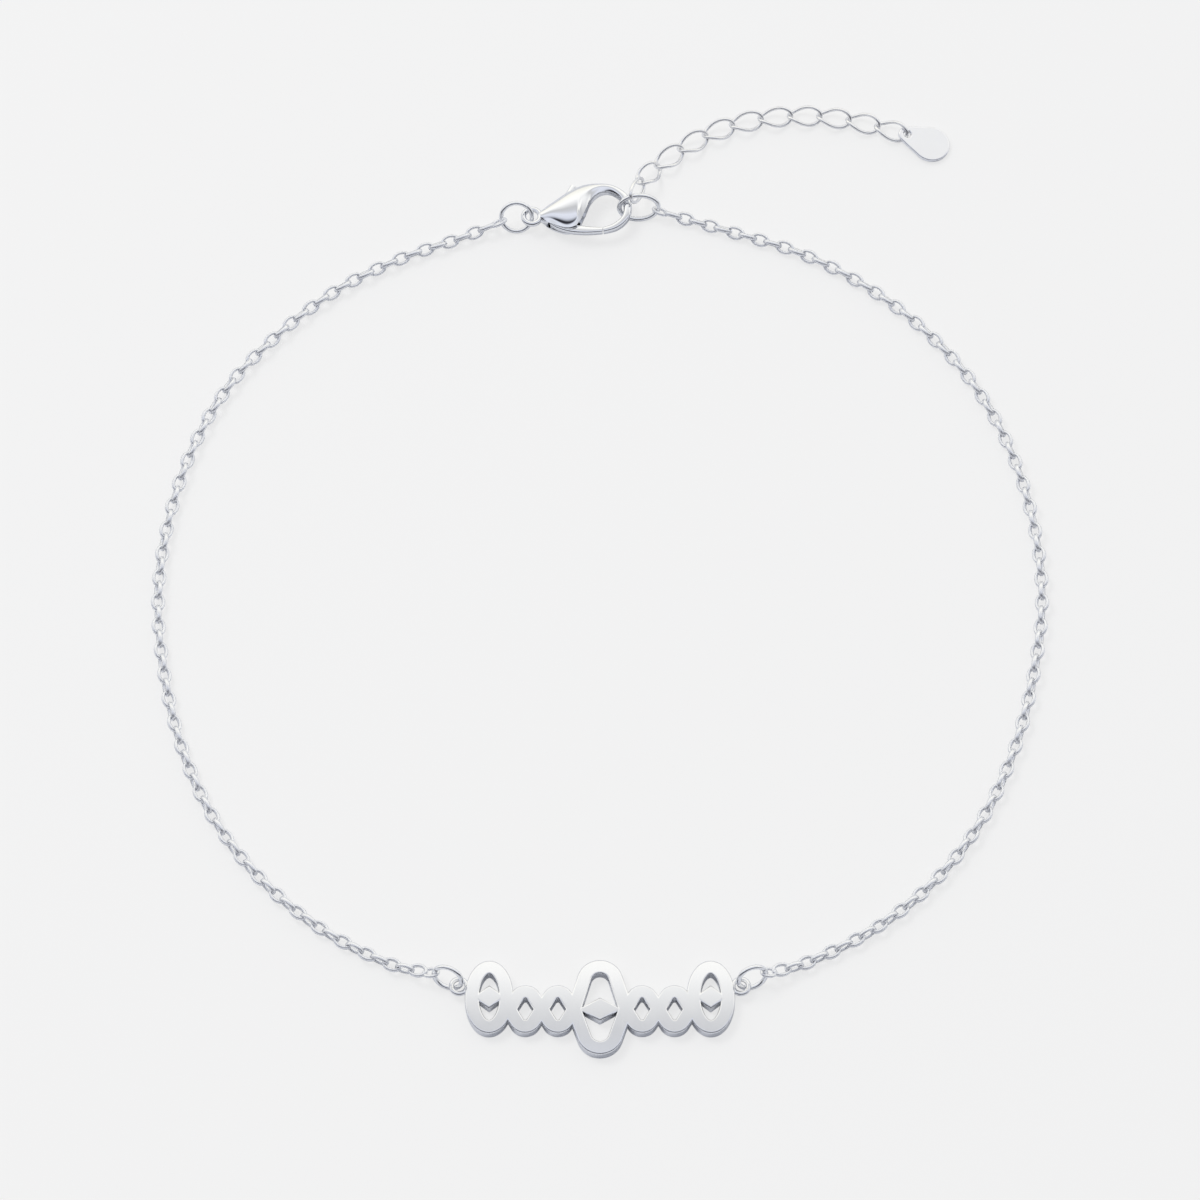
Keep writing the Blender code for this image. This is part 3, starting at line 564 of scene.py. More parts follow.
def make_chain(name, side, seed):
    line = chain_lines[name]
    links = round(line_length(line) / LINK_STEP) - 1
    links += links % 2
    mesh = grown_mesh(poly_curve(name, [line], False), link_chain, {
        "Links": links, "Link Length": LINK_LENGTH, "Link Width": LINK_WIDTH, "Wire": LINK_WIRE,
        "Wire Breadth": LINK_BREADTH, "Facing": tuple(to_camera), "First Roll": side * FIRST_ROLL,
        "Last Roll": side * LAST_ROLL, "Roll Spread": ROLL_SPREAD, "Seed": seed,
        "Silver": chain_silver,
    })
    print(name, links, "links,", len(mesh.polygons), "faces")
    add_piece(name + "_links", mesh, "bracelet", "silver_chain", name)


make_chain("chain_left", side=-1, seed=3)
make_chain("chain_right", side=1, seed=8)

# %% [markdown]
# ## The end links
# The four links round the rings hang as their rings let them, so they keep the lay of their
# solids. They are the same wire as the chain, swept along an oval.

# %% The end links
LINK_POINTS = 24
END_LINKS = ("end_link_clasp", "end_link_end_ring", "end_link_plate_left", "end_link_plate_right")


def flat_link(lay):
    along, across = (lay.axes[i] * (lay.halves[i] - LINK_WIRE / 2) for i in (0, 1))
    return oval_line(lay.middle, along, across, LINK_POINTS)


ovals = [flat_link(Lay(node)) for node in END_LINKS]
add_wire("end_links", ovals, True, LINK_WIRE, 10, chain_silver, "silver_chain", *END_LINKS)

# %% [markdown]
# ## The curb extender
# A curb link is an oval that was twisted after linking, so that the chain can lie flat: one end
# dips under its neighbour and the other rises over the next. The line of each link turns from
# one angle to the other along its length.

# %% The curb extender
EXTENDER_LINKS = tuple(f"extender_link_{i:02d}" for i in range(1, 12))
EXTENDER_WIDTH = 1.6 * MM
EXTENDER_WIRE = 0.25 * MM
TWIST_NEAR = math.radians(-32)
TWIST_FAR = math.radians(48)
FULLNESS = 0.85
CURB_POINTS = 40


def fuller(share):
    """A cosine or sine that stays longer near its ends, which makes an oval's shoulders fuller."""
    return math.copysign(abs(share) ** FULLNESS, share)


def curb_line(lay, onward, twisted):
    """The closed line of one curb link, with its far end on the side of `onward`."""
    along, across = lay.axes[0], lay.axes[1]
    if along.dot(onward) < 0:
        along = -along
    flat = UP.cross(along).normalized()
    half_along = lay.halves[0] - EXTENDER_WIRE / 2
    half_across = EXTENDER_WIDTH / 2 - EXTENDER_WIRE / 2
    near, far = (flat * math.cos(twist) + UP * math.sin(twist) for twist in (TWIST_NEAR, TWIST_FAR))
    points = []
    for i in range(CURB_POINTS):
        turn = math.tau * i / CURB_POINTS
        share = (math.cos(turn) + 1) / 2
        eased = share * share * (3 - 2 * share)
        side = near.lerp(far, eased).normalized() if twisted else across
        points.append(lay.middle + along * half_along * fuller(math.cos(turn))
                      + side * half_across * fuller(math.sin(turn)))
    return points


lays = [Lay(node) for node in EXTENDER_LINKS]
onward = [b.middle - a.middle for a, b in zip(lays, lays[1:])]
onward.append(onward[-1])
curbs = [curb_line(lay, way, i > 0) for i, (lay, way) in enumerate(zip(lays, onward))]
add_wire("extender_links", curbs, True, EXTENDER_WIRE, 10, extender_silver, "silver_extender",
         *EXTENDER_LINKS)

# %% [markdown]
# ## Plates with soft edges
# The name plate and the drop are cut from sheet and polished, which rounds their edges over. The
# flat outline is laid as a flat curve, which Blender fills and gives round edges. The normals are
# then set one by one, since a polished flat face shows the least bend.

# %% A plate with soft edges
MERGE = 0.0005 * MM


def dress(mesh, silver):
    mesh.materials.clear()
    mesh.materials.append(silver)


def soft_plate(name, loops, thickness, rounding, growth, place, silver):
    """A mesh as thick as `thickness` over closed loops, its edges rounded by `rounding`.

    `growth` is how far the finished outline lies outside the loops.
    """
    carrier = poly_curve(name, [[(x, y, 0.0) for x, y in loop] for loop in loops], True, "2D")
    curve = carrier.data
    curve.fill_mode = "BOTH"
    curve.extrude = thickness / 2 - rounding
    curve.bevel_depth = rounding
    curve.bevel_resolution = 3
    curve.offset = growth - rounding
    mesh = finished_mesh(carrier)
    shape = bmesh.new()
    shape.from_mesh(mesh)
    bmesh.ops.remove_doubles(shape, verts=shape.verts, dist=MERGE)
    bmesh.ops.recalc_face_normals(shape, faces=shape.faces)
    shape.transform(place)
    shape.to_mesh(mesh)
    shape.free()
    dress(mesh, silver)
    keep_flats_flat(mesh, place, thickness, rounding)
    return mesh


def keep_flats_flat(mesh, place, thickness, rounding):
    """Sets the normals, so that the faces are truly flat and only the rounded edges bend light."""
    mesh.shade_smooth()
    back = place.inverted()
    turn = place.to_3x3()
    normals = []
    for vertex in mesh.vertices:
        level = (back @ vertex.co).z
        normal = turn.inverted() @ vertex.normal
        if abs(level) > thickness / 2 - 0.01 * rounding:
            normal = UP if level > 0 else -UP
        elif abs(level) < thickness / 2 - 0.99 * rounding:
            normal = Vector((normal.x, normal.y, 0.0)).normalized()
        normals.append(turn @ normal)
    mesh.normals_split_custom_set_from_vertices(normals)


# %% [markdown]
# ## The name plate
# The plate is a braid of crossing waves with a boss in each wide eye, and its face is all at one
# height. The frame's solid already holds that outline: the edges round its flat top. They are
# read from the solid, put in order, smoothed between their corners, and laid as the curve above.

# %% The name plate
SOLID_BEVEL = 0.09 * MM
PLATE_ROUNDING = 0.13 * MM
SHORTEST_EDGE = 0.01 * MM
SAME_LEVEL = 0.002 * MM
CORNER = math.radians(30)


def top_loops(node):
    """The closed outlines of a flat-topped node's highest face, as lists of (x, y)."""
    shape = bmesh.new()
    shape.from_mesh(frame["nodes"][node].data)
    bmesh.ops.remove_doubles(shape, verts=shape.verts, dist=MERGE)
    top = max(v.co.z for v in shape.verts)
    tops = {f for f in shape.faces if all(top - v.co.z < SAME_LEVEL for v in f.verts)}
    rim = [e for e in shape.edges if sum(f in tops for f in e.link_faces) == 1]
    following = {}
    for edge in rim:
        for start, end in (edge.verts, reversed(edge.verts)):
            following.setdefault(start, []).append(end)
    loops = []
    while following:
        start = next(iter(following))
        loop = [start]
        before, here = None, start
        while True:
            onward = [v for v in following[here] if v is not before]
            before, here = here, onward[0]
            if here is start:
                break
            loop.append(here)
        for vertex in loop:
            del following[vertex]
        loops.append([(v.co.x, v.co.y) for v in loop])
    shape.free()
    return [smooth_loop(without_crumbs(loop)) for loop in loops]


def without_crumbs(loop):
    """The loop without points that lie almost on the one before."""
    kept = [loop[0]]
    for point in loop[1:]:
        if math.dist(point, kept[-1]) > SHORTEST_EDGE:
            kept.append(point)
    return kept


def turn_at(before, here, after):
    """How far a line turns at a point."""
    way_in, way_out = Vector(here) - Vector(before), Vector(after) - Vector(here)
    return way_in.angle(way_out)


def smooth_loop(loop, parts=3):
    """The loop with points put in between on a curve, save next to its corners."""
    count = len(loop)
    result = []
    for i in range(count):
        before, start, end, after = (Vector(loop[(i + step) % count]) for step in (-1, 0, 1, 2))
        turns = turn_at(before, start, end), turn_at(start, end, after)
        result.append(tuple(start))
        if max(turns) > CORNER:
            continue
        side = (end - start).length
        leave, arrive = (end - before).normalized() * side, (after - start).normalized() * side
        for j in range(1, parts):
            t = j / parts
            place = (start * (2 * t ** 3 - 3 * t ** 2 + 1) + leave * (t ** 3 - 2 * t ** 2 + t)
                     + end * (3 * t ** 2 - 2 * t ** 3) + arrive * (t ** 3 - t ** 2))
            result.append(tuple(place))
    return result


plate_low, plate_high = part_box("name_plate")
plate_thickness = plate_high.z - plate_low.z
plate_loops = top_loops("name_plate")
plate_place = Matrix.Translation((0.0, 0.0, plate_low.z + plate_thickness / 2))
plate_mesh = soft_plate("name_plate_face", plate_loops, plate_thickness, PLATE_ROUNDING,
                        SOLID_BEVEL, plate_place, plate_silver)
add_piece("name_plate_face", plate_mesh, "bracelet", "silver_plate", "name_plate")
print("name plate:", len(plate_loops), "outlines,", len(plate_mesh.polygons), "faces")

# %% [markdown]
# Two small wire eyelets are soldered to the plate's ends, where the jump rings go through.

# %% The plate's eyelets
EYELET_OUTER = 1.4 * MM
EYELET_WIRE = 0.34 * MM
EYELET_RISE = 0.62 * MM
EYELET_OFFSET = 1.75 * MM
EYE_POINTS = 40
radius = (EYELET_OUTER - EYELET_WIRE) / 2
half_axes = Vector((radius, 0.0, 0.0)), Vector((0.0, radius, 0.0))
eyelet_y = loop_middle.y - PLATE_DROP + EYELET_OFFSET
eyelet_ends = (plate_low.x + EYELET_OUTER / 2, plate_high.x - EYELET_OUTER / 2)
eyelets = [oval_line(Vector((x, eyelet_y, EYELET_RISE)), *half_axes, EYE_POINTS) for x in eyelet_ends]
add_wire("plate_eyelets", eyelets, True, EYELET_WIRE, 16, plate_silver, "silver_plate", "name_plate")

# %% [markdown]
# ## The drop
# The drop at the extender's end is a small polished teardrop of sheet. Its hole hangs on the last
# link and its round end rests on the surface, so it lies a little tilted.

# %% The drop
TAG_RADIUS = 1.37 * MM
TAG_TIP_RADIUS = 0.64 * MM
TAG_HOLE_RADIUS = 0.27 * MM
TAG_REACH = 1.85 * MM
TAG_THICKNESS = 0.34 * MM
TAG_ROUNDING = 0.1 * MM
TAG_HEADING = math.radians(-21)


def arc(middle_x, radius, first, last, steps):
    turns = [first + (last - first) * i / steps for i in range(steps + 1)]
    return [(middle_x + radius * math.cos(turn), radius * math.sin(turn)) for turn in turns]


spread = math.acos((TAG_RADIUS - TAG_TIP_RADIUS) / TAG_REACH)
teardrop = arc(TAG_REACH, TAG_RADIUS, spread - math.pi, math.pi - spread, 48)
teardrop += arc(0.0, TAG_TIP_RADIUS, math.pi - spread, math.pi + spread, 20)
hole = arc(0.0, TAG_HOLE_RADIUS, 0.0, math.tau * 23 / 24, 23)
tag_low, tag_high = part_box("tag")
tag_dip = math.asin((tag_high.z - TAG_THICKNESS) / (TAG_REACH + TAG_RADIUS + TAG_TIP_RADIUS))
round_top = TAG_REACH * math.sin(TAG_HEADING) + TAG_RADIUS
hole_place = Vector((tag_low.x + TAG_TIP_RADIUS, tag_high.y - round_top, 0.0))
hole_place.z = TAG_THICKNESS / 2 + math.sin(tag_dip) * (TAG_REACH + TAG_RADIUS)
tag_place = (Matrix.Translation(hole_place) @ Matrix.Rotation(TAG_HEADING, 4, "Z")
             @ Matrix.Rotation(tag_dip, 4, "Y"))
tag_mesh = soft_plate("drop", [teardrop, hole], TAG_THICKNESS, TAG_ROUNDING, 0.0, tag_place,
                      tag_silver)
add_piece("drop", tag_mesh, "bracelet", "silver_tag", "tag")
print("drop: tilted by", round(math.degrees(tag_dip), 1), "degrees")

# %% [markdown]
# ## The clasp's body
# A lobster clasp is cast: its body swells from the tail eye into a dome, which a crisp crest
# bounds on the hook's side, and then runs on as a slim bar round the hook to its nose. Below the
# crest a band runs down to a channel along the inner wall. A row of sections across the clasp
# carries that form. Each runs from the spine, over the top, to the inner side, and its crest and
# channel fade out along the hook. Subdivision then makes it smooth, and creases keep the crest
# crisp.

# %% The clasp's sections
TAIL_EYE = Vector((-4.9, 30.2, 0.0)) * MM
CLASP_HEADING = math.radians(2)
CLASP_LENGTH = 7.2 * MM
CLASP_WIDTH = 4.0 * MM
CLASP_THICKNESS = 2.1 * MM
SECTION_COLUMNS = ("spine_x", "spine_y", "inner_x", "inner_y", "rise", "crest", "crest_rise", "sharp")
CLASP_SECTIONS = (
    (0.076, 0.070, 0.086, -0.095, 0.32, -0.30, 0.80, 0.3),
    (0.160, 0.175, 0.170, -0.200, 0.66, -0.50, 0.76, 0.8),
    (0.246, 0.280, 0.256, -0.275, 0.88, -0.74, 0.66, 1.0),
    (0.353, 0.418, 0.345, -0.325, 1.00, -0.86, 0.58, 1.0),
    (0.450, 0.522, 0.430, -0.290, 0.96, -0.80, 0.60, 1.0),
    (0.492, 0.556, 0.461, -0.230, 0.885, -0.52, 0.77, 1.0),
    (0.532, 0.585, 0.490, -0.150, 0.80, -0.20, 0.89, 1.0),
    (0.601, 0.612, 0.540, 0.050, 0.62, -0.08, 0.92, 1.0),
    (0.672, 0.618, 0.592, 0.262, 0.48, -0.04, 0.94, 0.9),
    (0.742, 0.608, 0.680, 0.412, 0.42, 0.00, 0.97, 0.7),
    (0.826, 0.566, 0.778, 0.432, 0.40, 0.00, 1.00, 0.4),
    (0.903, 0.478, 0.850, 0.358, 0.40, 0.00, 1.00, 0.2),
    (0.972, 0.348, 0.902, 0.250, 0.40, 0.00, 1.00, 0.0),
    (1.000, 0.200, 0.919, 0.138, 0.40, 0.00, 1.00, 0.0),
    (1.000, 0.050, 0.914, 0.015, 0.40, 0.00, 1.00, 0.0),
    (0.975, -0.105, 0.892, -0.090, 0.38, 0.00, 1.00, 0.0),
    (0.910, -0.250, 0.845, -0.172, 0.34, 0.00, 1.00, 0.0),
    (0.824, -0.345, 0.778, -0.244, 0.30, 0.00, 1.00, 0.0),
    (0.712, -0.390, 0.704, -0.280, 0.26, 0.00, 1.00, 0.0),
)
ROWS_BETWEEN = 3
ROUND_PROFILE = ((1.0, 0.0), (0.97, 0.5), (0.8, 0.86), (0.45, 1.0), (0.0, 1.02),
                 (-0.45, 1.0), (-0.8, 0.86), (-0.97, 0.5), (-0.99, 0.25), (-1.0, 0.0))
BAND_HEIGHT = 0.54 * MM
CHANNEL_DEPTH = 0.6 * MM
DEEPEST_CHANNEL = 0.75
LOWEST_BAND = 0.42
CREST_POINT = 6
BAND_POINTS = (7, 8)


def smooth_rows(rows, parts):
    """The table's rows with rows put in between, on a smooth curve through them."""
    ends = [rows[0], *rows, rows[-1]]
    result = [tuple(between(*values, i / parts) for values in zip(*four))
              for four in zip(ends, ends[1:], ends[2:], ends[3:]) for i in range(parts)]
    return result + [rows[-1]]


clasp_rows = [dict(zip(SECTION_COLUMNS, row)) for row in smooth_rows(CLASP_SECTIONS, ROWS_BETWEEN)]


def clasp_point(x, y, z=0.0):
    """A point given along and across the clasp, from the middle of its tail eye."""
    turned = Matrix.Rotation(CLASP_HEADING, 3, "Z") @ Vector((x, y, 0.0))
    return loop_middle + TAIL_EYE + turned + UP * (CLASP_THICKNESS / 2 + z)


def crested_profile(crest, crest_rise, height, breadth):
    """The upper half of a section with a crest: the dome, the band below it and the channel."""
    depth = min(CHANNEL_DEPTH / breadth, DEEPEST_CHANNEL)
    band = min(max(LOWEST_BAND, BAND_HEIGHT / height), crest_rise - 0.06)
    near = crest + 0.22
    return ((1.0, 0.0), (0.98, 0.42), (0.84, 0.76), (0.5, 0.98), ((0.5 + near) / 2, 1.03),
            (near, crest_rise + 0.62 * (1.0 - crest_rise)), (crest, crest_rise),
            (-0.99, band), (-0.96, band - 0.12), (depth - 1.0, 0.0))


def section_points(row):
    """The points round one section, from the spine over the top and back underneath."""
    spine = clasp_point(row["spine_x"] * CLASP_LENGTH, row["spine_y"] * CLASP_WIDTH)
    inner = clasp_point(row["inner_x"] * CLASP_LENGTH, row["inner_y"] * CLASP_WIDTH)
    middle, half = (spine + inner) / 2, (spine - inner) / 2
    height = row["rise"] * CLASP_THICKNESS / 2
    crested = crested_profile(row["crest"], row["crest_rise"], height, half.length)
    upper = []
    for (u1, w1), (u2, w2) in zip(ROUND_PROFILE, crested):
        upper.append((u1 + (u2 - u1) * row["sharp"], w1 + (w2 - w1) * row["sharp"]))
    lower = [(u, -w) for u, w in reversed(upper[1:-1])]
    return [middle + half * u + UP * height * w for u, w in upper + lower]


print("sections:", len(clasp_rows), "of", len(section_points(clasp_rows[0])), "points")

# %% [markdown]
# The sections are joined ring by ring, and the two ends are closed. The crease attribute on the
# crest's edges takes its strength from the same table.

# %% The clasp's body
CREST_CREASE = 0.9
BAND_CREASE = 0.8
END_CREASE = 0.6


def lofted(sections, creases=None):
    """A closed mesh through rings of points. `creases` gives each ring point's crease by row."""
    shape = bmesh.new()
    crease = shape.edges.layers.float.new("crease_edge")
    rings = [[shape.verts.new(point) for point in section] for section in sections]
    count = len(rings[0])
    for row, (ring, following) in enumerate(zip(rings, rings[1:])):
        for i in range(count):
            j = (i + 1) % count
            shape.faces.new((ring[i], ring[j], following[j], following[i]))
            if creases:
                shape.edges.get((ring[i], following[i]))[crease] = creases(row, i)
    for ring in (rings[0], rings[-1]):
        shape.faces.new(ring)
        for i in range(count):
            shape.edges.get((ring[i], ring[(i + 1) % count]))[crease] = END_CREASE
    bmesh.ops.recalc_face_normals(shape, faces=shape.faces)
    mesh = bpy.data.meshes.new("loft")
    shape.to_mesh(mesh)
    shape.free()
    mesh.shade_smooth()
    return mesh


def refined(mesh, levels):
    """The mesh with subdivision surfaces applied."""
    carrier = add_object("carrier", mesh)
    finer = carrier.modifiers.new("finer", "SUBSURF")
    finer.levels = levels
    finer.render_levels = levels
    return finished_mesh(carrier)


def crest_crease(row, i):
    upper = min(i, 2 * (len(ROUND_PROFILE) - 1) - i)
    if upper == CREST_POINT:
        return CREST_CREASE * clasp_rows[row]["sharp"]
    return BAND_CREASE * clasp_rows[row]["sharp"] if upper in BAND_POINTS else 0.0


shell_mesh = refined(lofted([section_points(row) for row in clasp_rows], crest_crease), 2)
print("clasp shell:", len(shell_mesh.polygons), "faces")

# %% [markdown]
# The lever moves in a flat slot, sawn into the body from the inner side and, for the thumb's tab,
# from the spine. The slot's outline follows the lever's sweep round its pin, as in the solid.

# %% The lever's slot
PIVOT_X = 0.243
LEVER_THICKNESS = 0.56 * MM
LEVER_CLEARANCE = 0.08 * MM
LEVER_OPENS = math.radians(18)
LEVER_ARM = 0.5 * MM
LEVER_HUB = 0.5 * MM
THUMB_TURN = math.radians(60)
GATE_FROM, GATE_TO = math.radians(-140), math.radians(8)
GATE_REACH = 0.36 * CLASP_LENGTH
THUMB_CUT = 1.1 * CLASP_WIDTH
SMOOTH_LIMIT = math.radians(35)


def at_pivot(turn, distance, aside=0.0, z=0.0):
    """A point at a turn and a distance from the lever's pin, in the clasp's own directions."""
    out = Vector((math.cos(turn), math.sin(turn), 0.0))
    flat = Vector((PIVOT_X * CLASP_LENGTH, 0.0, 0.0)) + out * distance + UP.cross(out) * aside
    return clasp_point(flat.x, flat.y, z)


def slot_outline(z):
    """The slot's plan: the gate's sweep, the hub, the thumb arm's sweep and the hub's far side."""
    hub = LEVER_HUB + LEVER_CLEARANCE
    side = LEVER_ARM / 2 + LEVER_CLEARANCE
    opened = THUMB_TURN + LEVER_OPENS
    start = math.sqrt(hub ** 2 - side ** 2)
    edge = math.asin(side / hub)
    first, last = opened + edge, math.tau + GATE_FROM
    places = [(GATE_FROM + (GATE_TO - GATE_FROM) * i / 8, GATE_REACH, 0.0) for i in range(9)]
    places += [(turn, hub, 0.0) for turn in (GATE_TO, (GATE_TO + THUMB_TURN - edge) / 2)]
    places += [(THUMB_TURN, start, -side), (THUMB_TURN, THUMB_CUT, -side)]
    places += [(opened, THUMB_CUT, side), (opened, start, side)]
    places += [(first + (last - first) * i / 5, hub, 0.0) for i in range(1, 6)]
    return [at_pivot(*place, z) for place in places]


def sawn(mesh, low_outline, high_outline):
    """The mesh less the prism between two outlines."""
    cutter = add_object("saw", lofted([low_outline, high_outline]))
    carrier = add_object("sawn", mesh)
    cut = carrier.modifiers.new("slot", "BOOLEAN")
    cut.operation = "DIFFERENCE"
    cut.solver = "EXACT"
    cut.object = cutter
    result = finished_mesh(carrier)
    bpy.data.objects.remove(cutter)
    result.shade_smooth()
    result.set_sharp_from_angle(angle=SMOOTH_LIMIT)
    return result


slot_half = LEVER_THICKNESS / 2 + LEVER_CLEARANCE
body_mesh = sawn(shell_mesh, slot_outline(-slot_half), slot_outline(slot_half))
dress(body_mesh, clasp_silver)
add_piece("clasp_shell", body_mesh, "bracelet", "silver_clasp", "clasp_body")
print("clasp body:", len(body_mesh.polygons), "faces")

# %% [markdown]
# ## The lever
# The lever is one small casting: a gate that closes the hook, a hub round the pin, and a thumb
# tab that stands out of the spine. It rides on its own body, which turns on the pin.

# %% The lever
SEAM_GAP = 0.08 * MM
GATE_COLUMNS = ("x", "low", "high")
GATE_SECTIONS = tuple(dict(zip(GATE_COLUMNS, row)) for row in (
    (0.180, -0.200, -0.075),
    (0.225, -0.265, -0.085),
    (0.300, -0.330, -0.130),
    (0.395, -0.380, -0.195),
    (0.510, -0.402, -0.240),
    (0.610, -0.402, -0.270),
    (0.712, -0.392, -0.282),
))
PILLOW = ((1.0, 0.45), (0.8, 0.94), (0.0, 1.0), (-0.8, 0.94), (-1.0, 0.45),
          (-1.0, -0.45), (-0.8, -0.94), (0.0, -1.0), (0.8, -0.94), (1.0, -0.45))


def pillow_section(first, second):
    """A flat section with rounded corners between two points, as high as the lever."""
    middle, half = (first + second) / 2, (first - second) / 2
    return [middle + half * u + UP * LEVER_THICKNESS / 2 * w for u, w in PILLOW]


def gate_sections():
    first, last = GATE_SECTIONS[0]["x"], GATE_SECTIONS[-1]["x"]
    for row in GATE_SECTIONS:
        x = row["x"] * CLASP_LENGTH - SEAM_GAP * (row["x"] - first) / (last - first)
        yield pillow_section(*(clasp_point(x, row[side] * CLASP_WIDTH) for side in ("high", "low")))


def arm_sections(reach):
    for share in (0.0, 0.5, 0.85, 1.0):
        sides = [at_pivot(THUMB_TURN, reach * share, side * LEVER_ARM / 2) for side in (1, -1)]
        yield pillow_section(*sides)


def hub_sections(steps=24):
    for z in (-LEVER_THICKNESS / 2, LEVER_THICKNESS / 2):
        yield [at_pivot(math.tau * i / steps, LEVER_HUB, 0.0, z) for i in range(steps)]


lever_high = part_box("clasp_lever")[1]
arm_turn = THUMB_TURN + CLASP_HEADING
arm_rise = lever_high.y - at_pivot(0.0, 0.0).y - LEVER_ARM / 2 * math.cos(arm_turn)
arm_reach = arm_rise / math.sin(arm_turn)
lever_parts = (
    ("gate", refined(lofted(gate_sections()), 2)),
    ("tab", refined(lofted(arm_sections(arm_reach)), 2)),
    ("hub", lofted(hub_sections())),
)
for name, mesh in lever_parts:
    mesh.set_sharp_from_angle(angle=SMOOTH_LIMIT)
    dress(mesh, clasp_silver)
    add_piece("lever_" + name, mesh, "lever", "silver_clasp", "clasp_lever")
    print("lever", name, len(mesh.polygons), "faces")

# %% [markdown]
# ## The clasp's tail eye
# The eye is cast with the body. It is a small ring of round wire that runs into the neck.

# %% The tail eye
TAIL_EYE_OUTER = 1.6 * MM
TAIL_EYE_WIRE = 0.4 * MM
tail_radius = (TAIL_EYE_OUTER - TAIL_EYE_WIRE) / 2
tail_middle = clasp_point(0.0, 0.0)
tail_axes = clasp_point(tail_radius, 0.0) - tail_middle, clasp_point(0.0, tail_radius) - tail_middle
tail_line = oval_line(tail_middle, *tail_axes, EYE_POINTS)
add_wire("clasp_tail_eye", [tail_line], True, TAIL_EYE_WIRE, 16, clasp_silver, "silver_clasp",
         "clasp_body")

# %% [markdown]
# ## The surface and the light
# The bracelet lies on a plain pale surface under soft light from all round, as in a light tent.
# Polished silver shows nothing but its surroundings, so the tent carries the look: white above,
# a darker low front that draws the thin dark lines along the lower edges, and grey round the
# horizon that outlines the wires. The surface, as the silver reflects it, is painted a darker grey
# than the camera sees: a painted shade in the reflections.

# %% The surface
FLOOR_SIZE = 3.0
PALE = (0.903, 0.903, 0.903, 1.0)
PAPER = (0.885, 0.878, 0.868, 1.0)
OWN_GLOW = 0.78
# painted reflection: the silver sees the surface in this darker grey, a painted shade
PAINTED_REFLECTION_GREY = (0.70, 0.71, 0.74, 1.0)


def make_pale_surface():
    """A pale surface with a faint shadow. The silver's reflections see it in a darker grey instead, a
    painted shade.
    """
    material = bpy.data.materials.new("pale surface")
    material.use_nodes = True
    tree = material.node_tree
    tree.nodes.clear()
    glow = add_node(tree, "ShaderNodeEmission", {"Color": PALE})
    paper = add_node(tree, "ShaderNodeBsdfDiffuse", {"Color": PAPER})
    seen = add_node(tree, "ShaderNodeMixShader", {0: OWN_GLOW, 1: paper.outputs[0], 2: glow.outputs[0]})
    # painted reflection: rays from the silver see this darker grey surface, not the pale one
    painted_reflection = add_node(tree, "ShaderNodeBsdfDiffuse", {"Color": PAINTED_REFLECTION_GREY})
    by_silver = tree.nodes.new("ShaderNodeLightPath").outputs["Is Glossy Ray"]
    both = add_node(tree, "ShaderNodeMixShader", {
        0: by_silver, 1: seen.outputs[0], 2: painted_reflection.outputs[0]})
    tree.links.new(both.outputs[0], tree.nodes.new("ShaderNodeOutputMaterial").inputs["Surface"])
    return material


def make_floor():
    mesh = bpy.data.meshes.new("surface")
    half = FLOOR_SIZE / 2
    corners = [(-half, -half, 0), (half, -half, 0), (half, half, 0), (-half, half, 0)]
    mesh.from_pydata(corners, [], [(0, 1, 2, 3)])
    mesh.materials.append(make_pale_surface())
    floor = add_object("surface", mesh)
    return floor


print("surface in metres:", [round(side, 2) for side in make_floor().dimensions])

# %% [markdown]
# The tent is told by one angle: how far a direction has turned from the low back, over the top,
# to the low front. A flat face shows the tent at 64 degrees, a face turned to the camera shows it
# at 116, and a face below a crest shows the dark front.

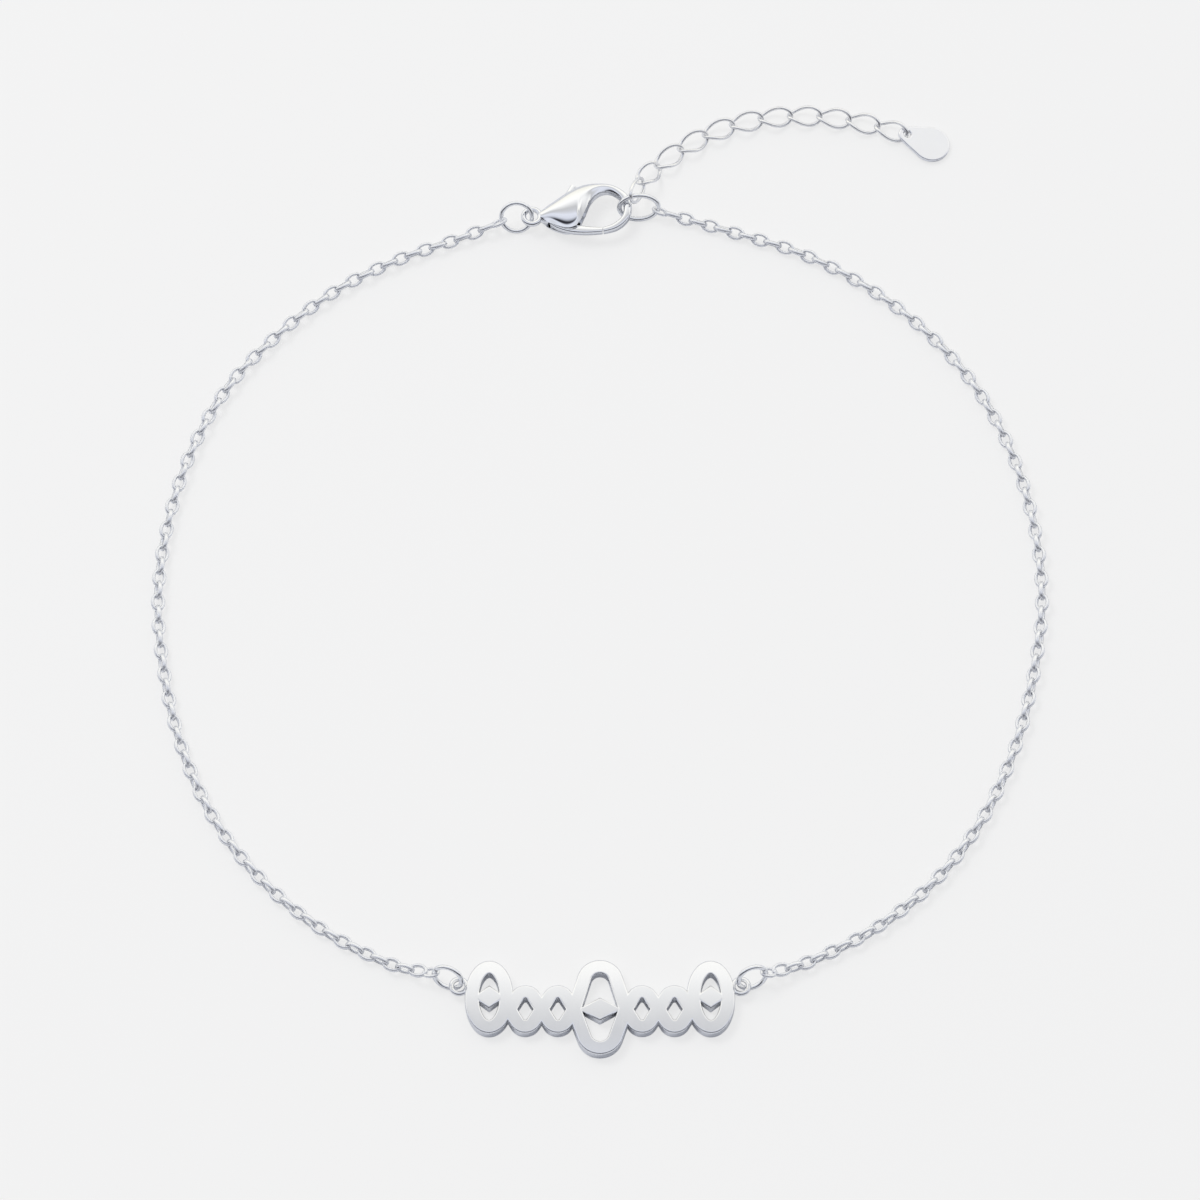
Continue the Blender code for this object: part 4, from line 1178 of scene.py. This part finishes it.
# %% The light tent
TENT = (
    (0, (0.60, 0.61, 0.63)), (12, (0.78, 0.78, 0.78)), (20, (1.0, 0.985, 0.90)),
    (45, (1.12, 1.11, 1.06)), (56, (1.06, 1.06, 1.05)), (64, (0.85, 0.855, 0.86)),
    (73, (0.60, 0.605, 0.62)), (80, (0.62, 0.63, 0.66)), (92, (0.80, 0.83, 0.92)),
    (108, (0.72, 0.75, 0.84)), (120, (0.42, 0.44, 0.50)), (130, (0.04, 0.04, 0.05)),
    (158, (0.015, 0.015, 0.02)), (163, (0.48, 0.49, 0.52)), (172, (0.55, 0.56, 0.60)),
    (180, (0.25, 0.26, 0.28)),
)


def make_tent():
    world = bpy.data.worlds.new("tent")
    bpy.context.scene.world = world
    world.use_nodes = True
    tree = world.node_tree
    tree.nodes.clear()
    direction = tree.nodes.new("ShaderNodeTexCoord").outputs["Generated"]
    way = add_node(tree, "ShaderNodeSeparateXYZ", {0: direction})
    turn = calculate(tree, "ARCTAN2", way.outputs["Z"], way.outputs["Y"])
    ramp = add_node(tree, "ShaderNodeValToRGB", {0: calculate(tree, "DIVIDE", turn, math.pi)})
    stops = ramp.color_ramp.elements
    for stop, (degrees, colour) in zip((stops[0], stops[1]), (TENT[0], TENT[-1])):
        stop.position = degrees / 180
        stop.color = (*colour, 1.0)
    for degrees, colour in TENT[1:-1]:
        stops.new(degrees / 180).color = (*colour, 1.0)
    shine = add_node(tree, "ShaderNodeBackground", {"Color": ramp.outputs[0], "Strength": 1.0})
    plain = add_node(tree, "ShaderNodeBackground", {"Color": PALE})
    seen = tree.nodes.new("ShaderNodeLightPath").outputs["Is Camera Ray"]
    both = add_node(tree, "ShaderNodeMixShader", {0: seen, 1: shine.outputs[0], 2: plain.outputs[0]})
    tree.links.new(both.outputs[0], tree.nodes.new("ShaderNodeOutputWorld").inputs[0])
    return stops


print("light tent:", len(make_tent()), "colours")

# %% [markdown]
# One large soft lamp from behind and above gives the faint shadow in front of each piece.

# %% The lamp
LAMP_PLACE = Vector((-0.32, 0.25, 0.57))
LAMP_SIZE = 0.3
LAMP_POWER = 1.9


def make_lamp():
    light = bpy.data.lights.new("lamp", "AREA")
    light.shape = "DISK"
    light.size = LAMP_SIZE
    light.energy = LAMP_POWER
    lamp = add_object("lamp", light)
    lamp.visible_glossy = False
    lamp.location = loop_middle + LAMP_PLACE
    lamp.rotation_euler = (-LAMP_PLACE).to_track_quat("-Z", "Y").to_euler()
    return lamp


print("lamp:", make_lamp().data.energy, "W")
bpy.context.scene.view_settings.view_transform = "Standard"
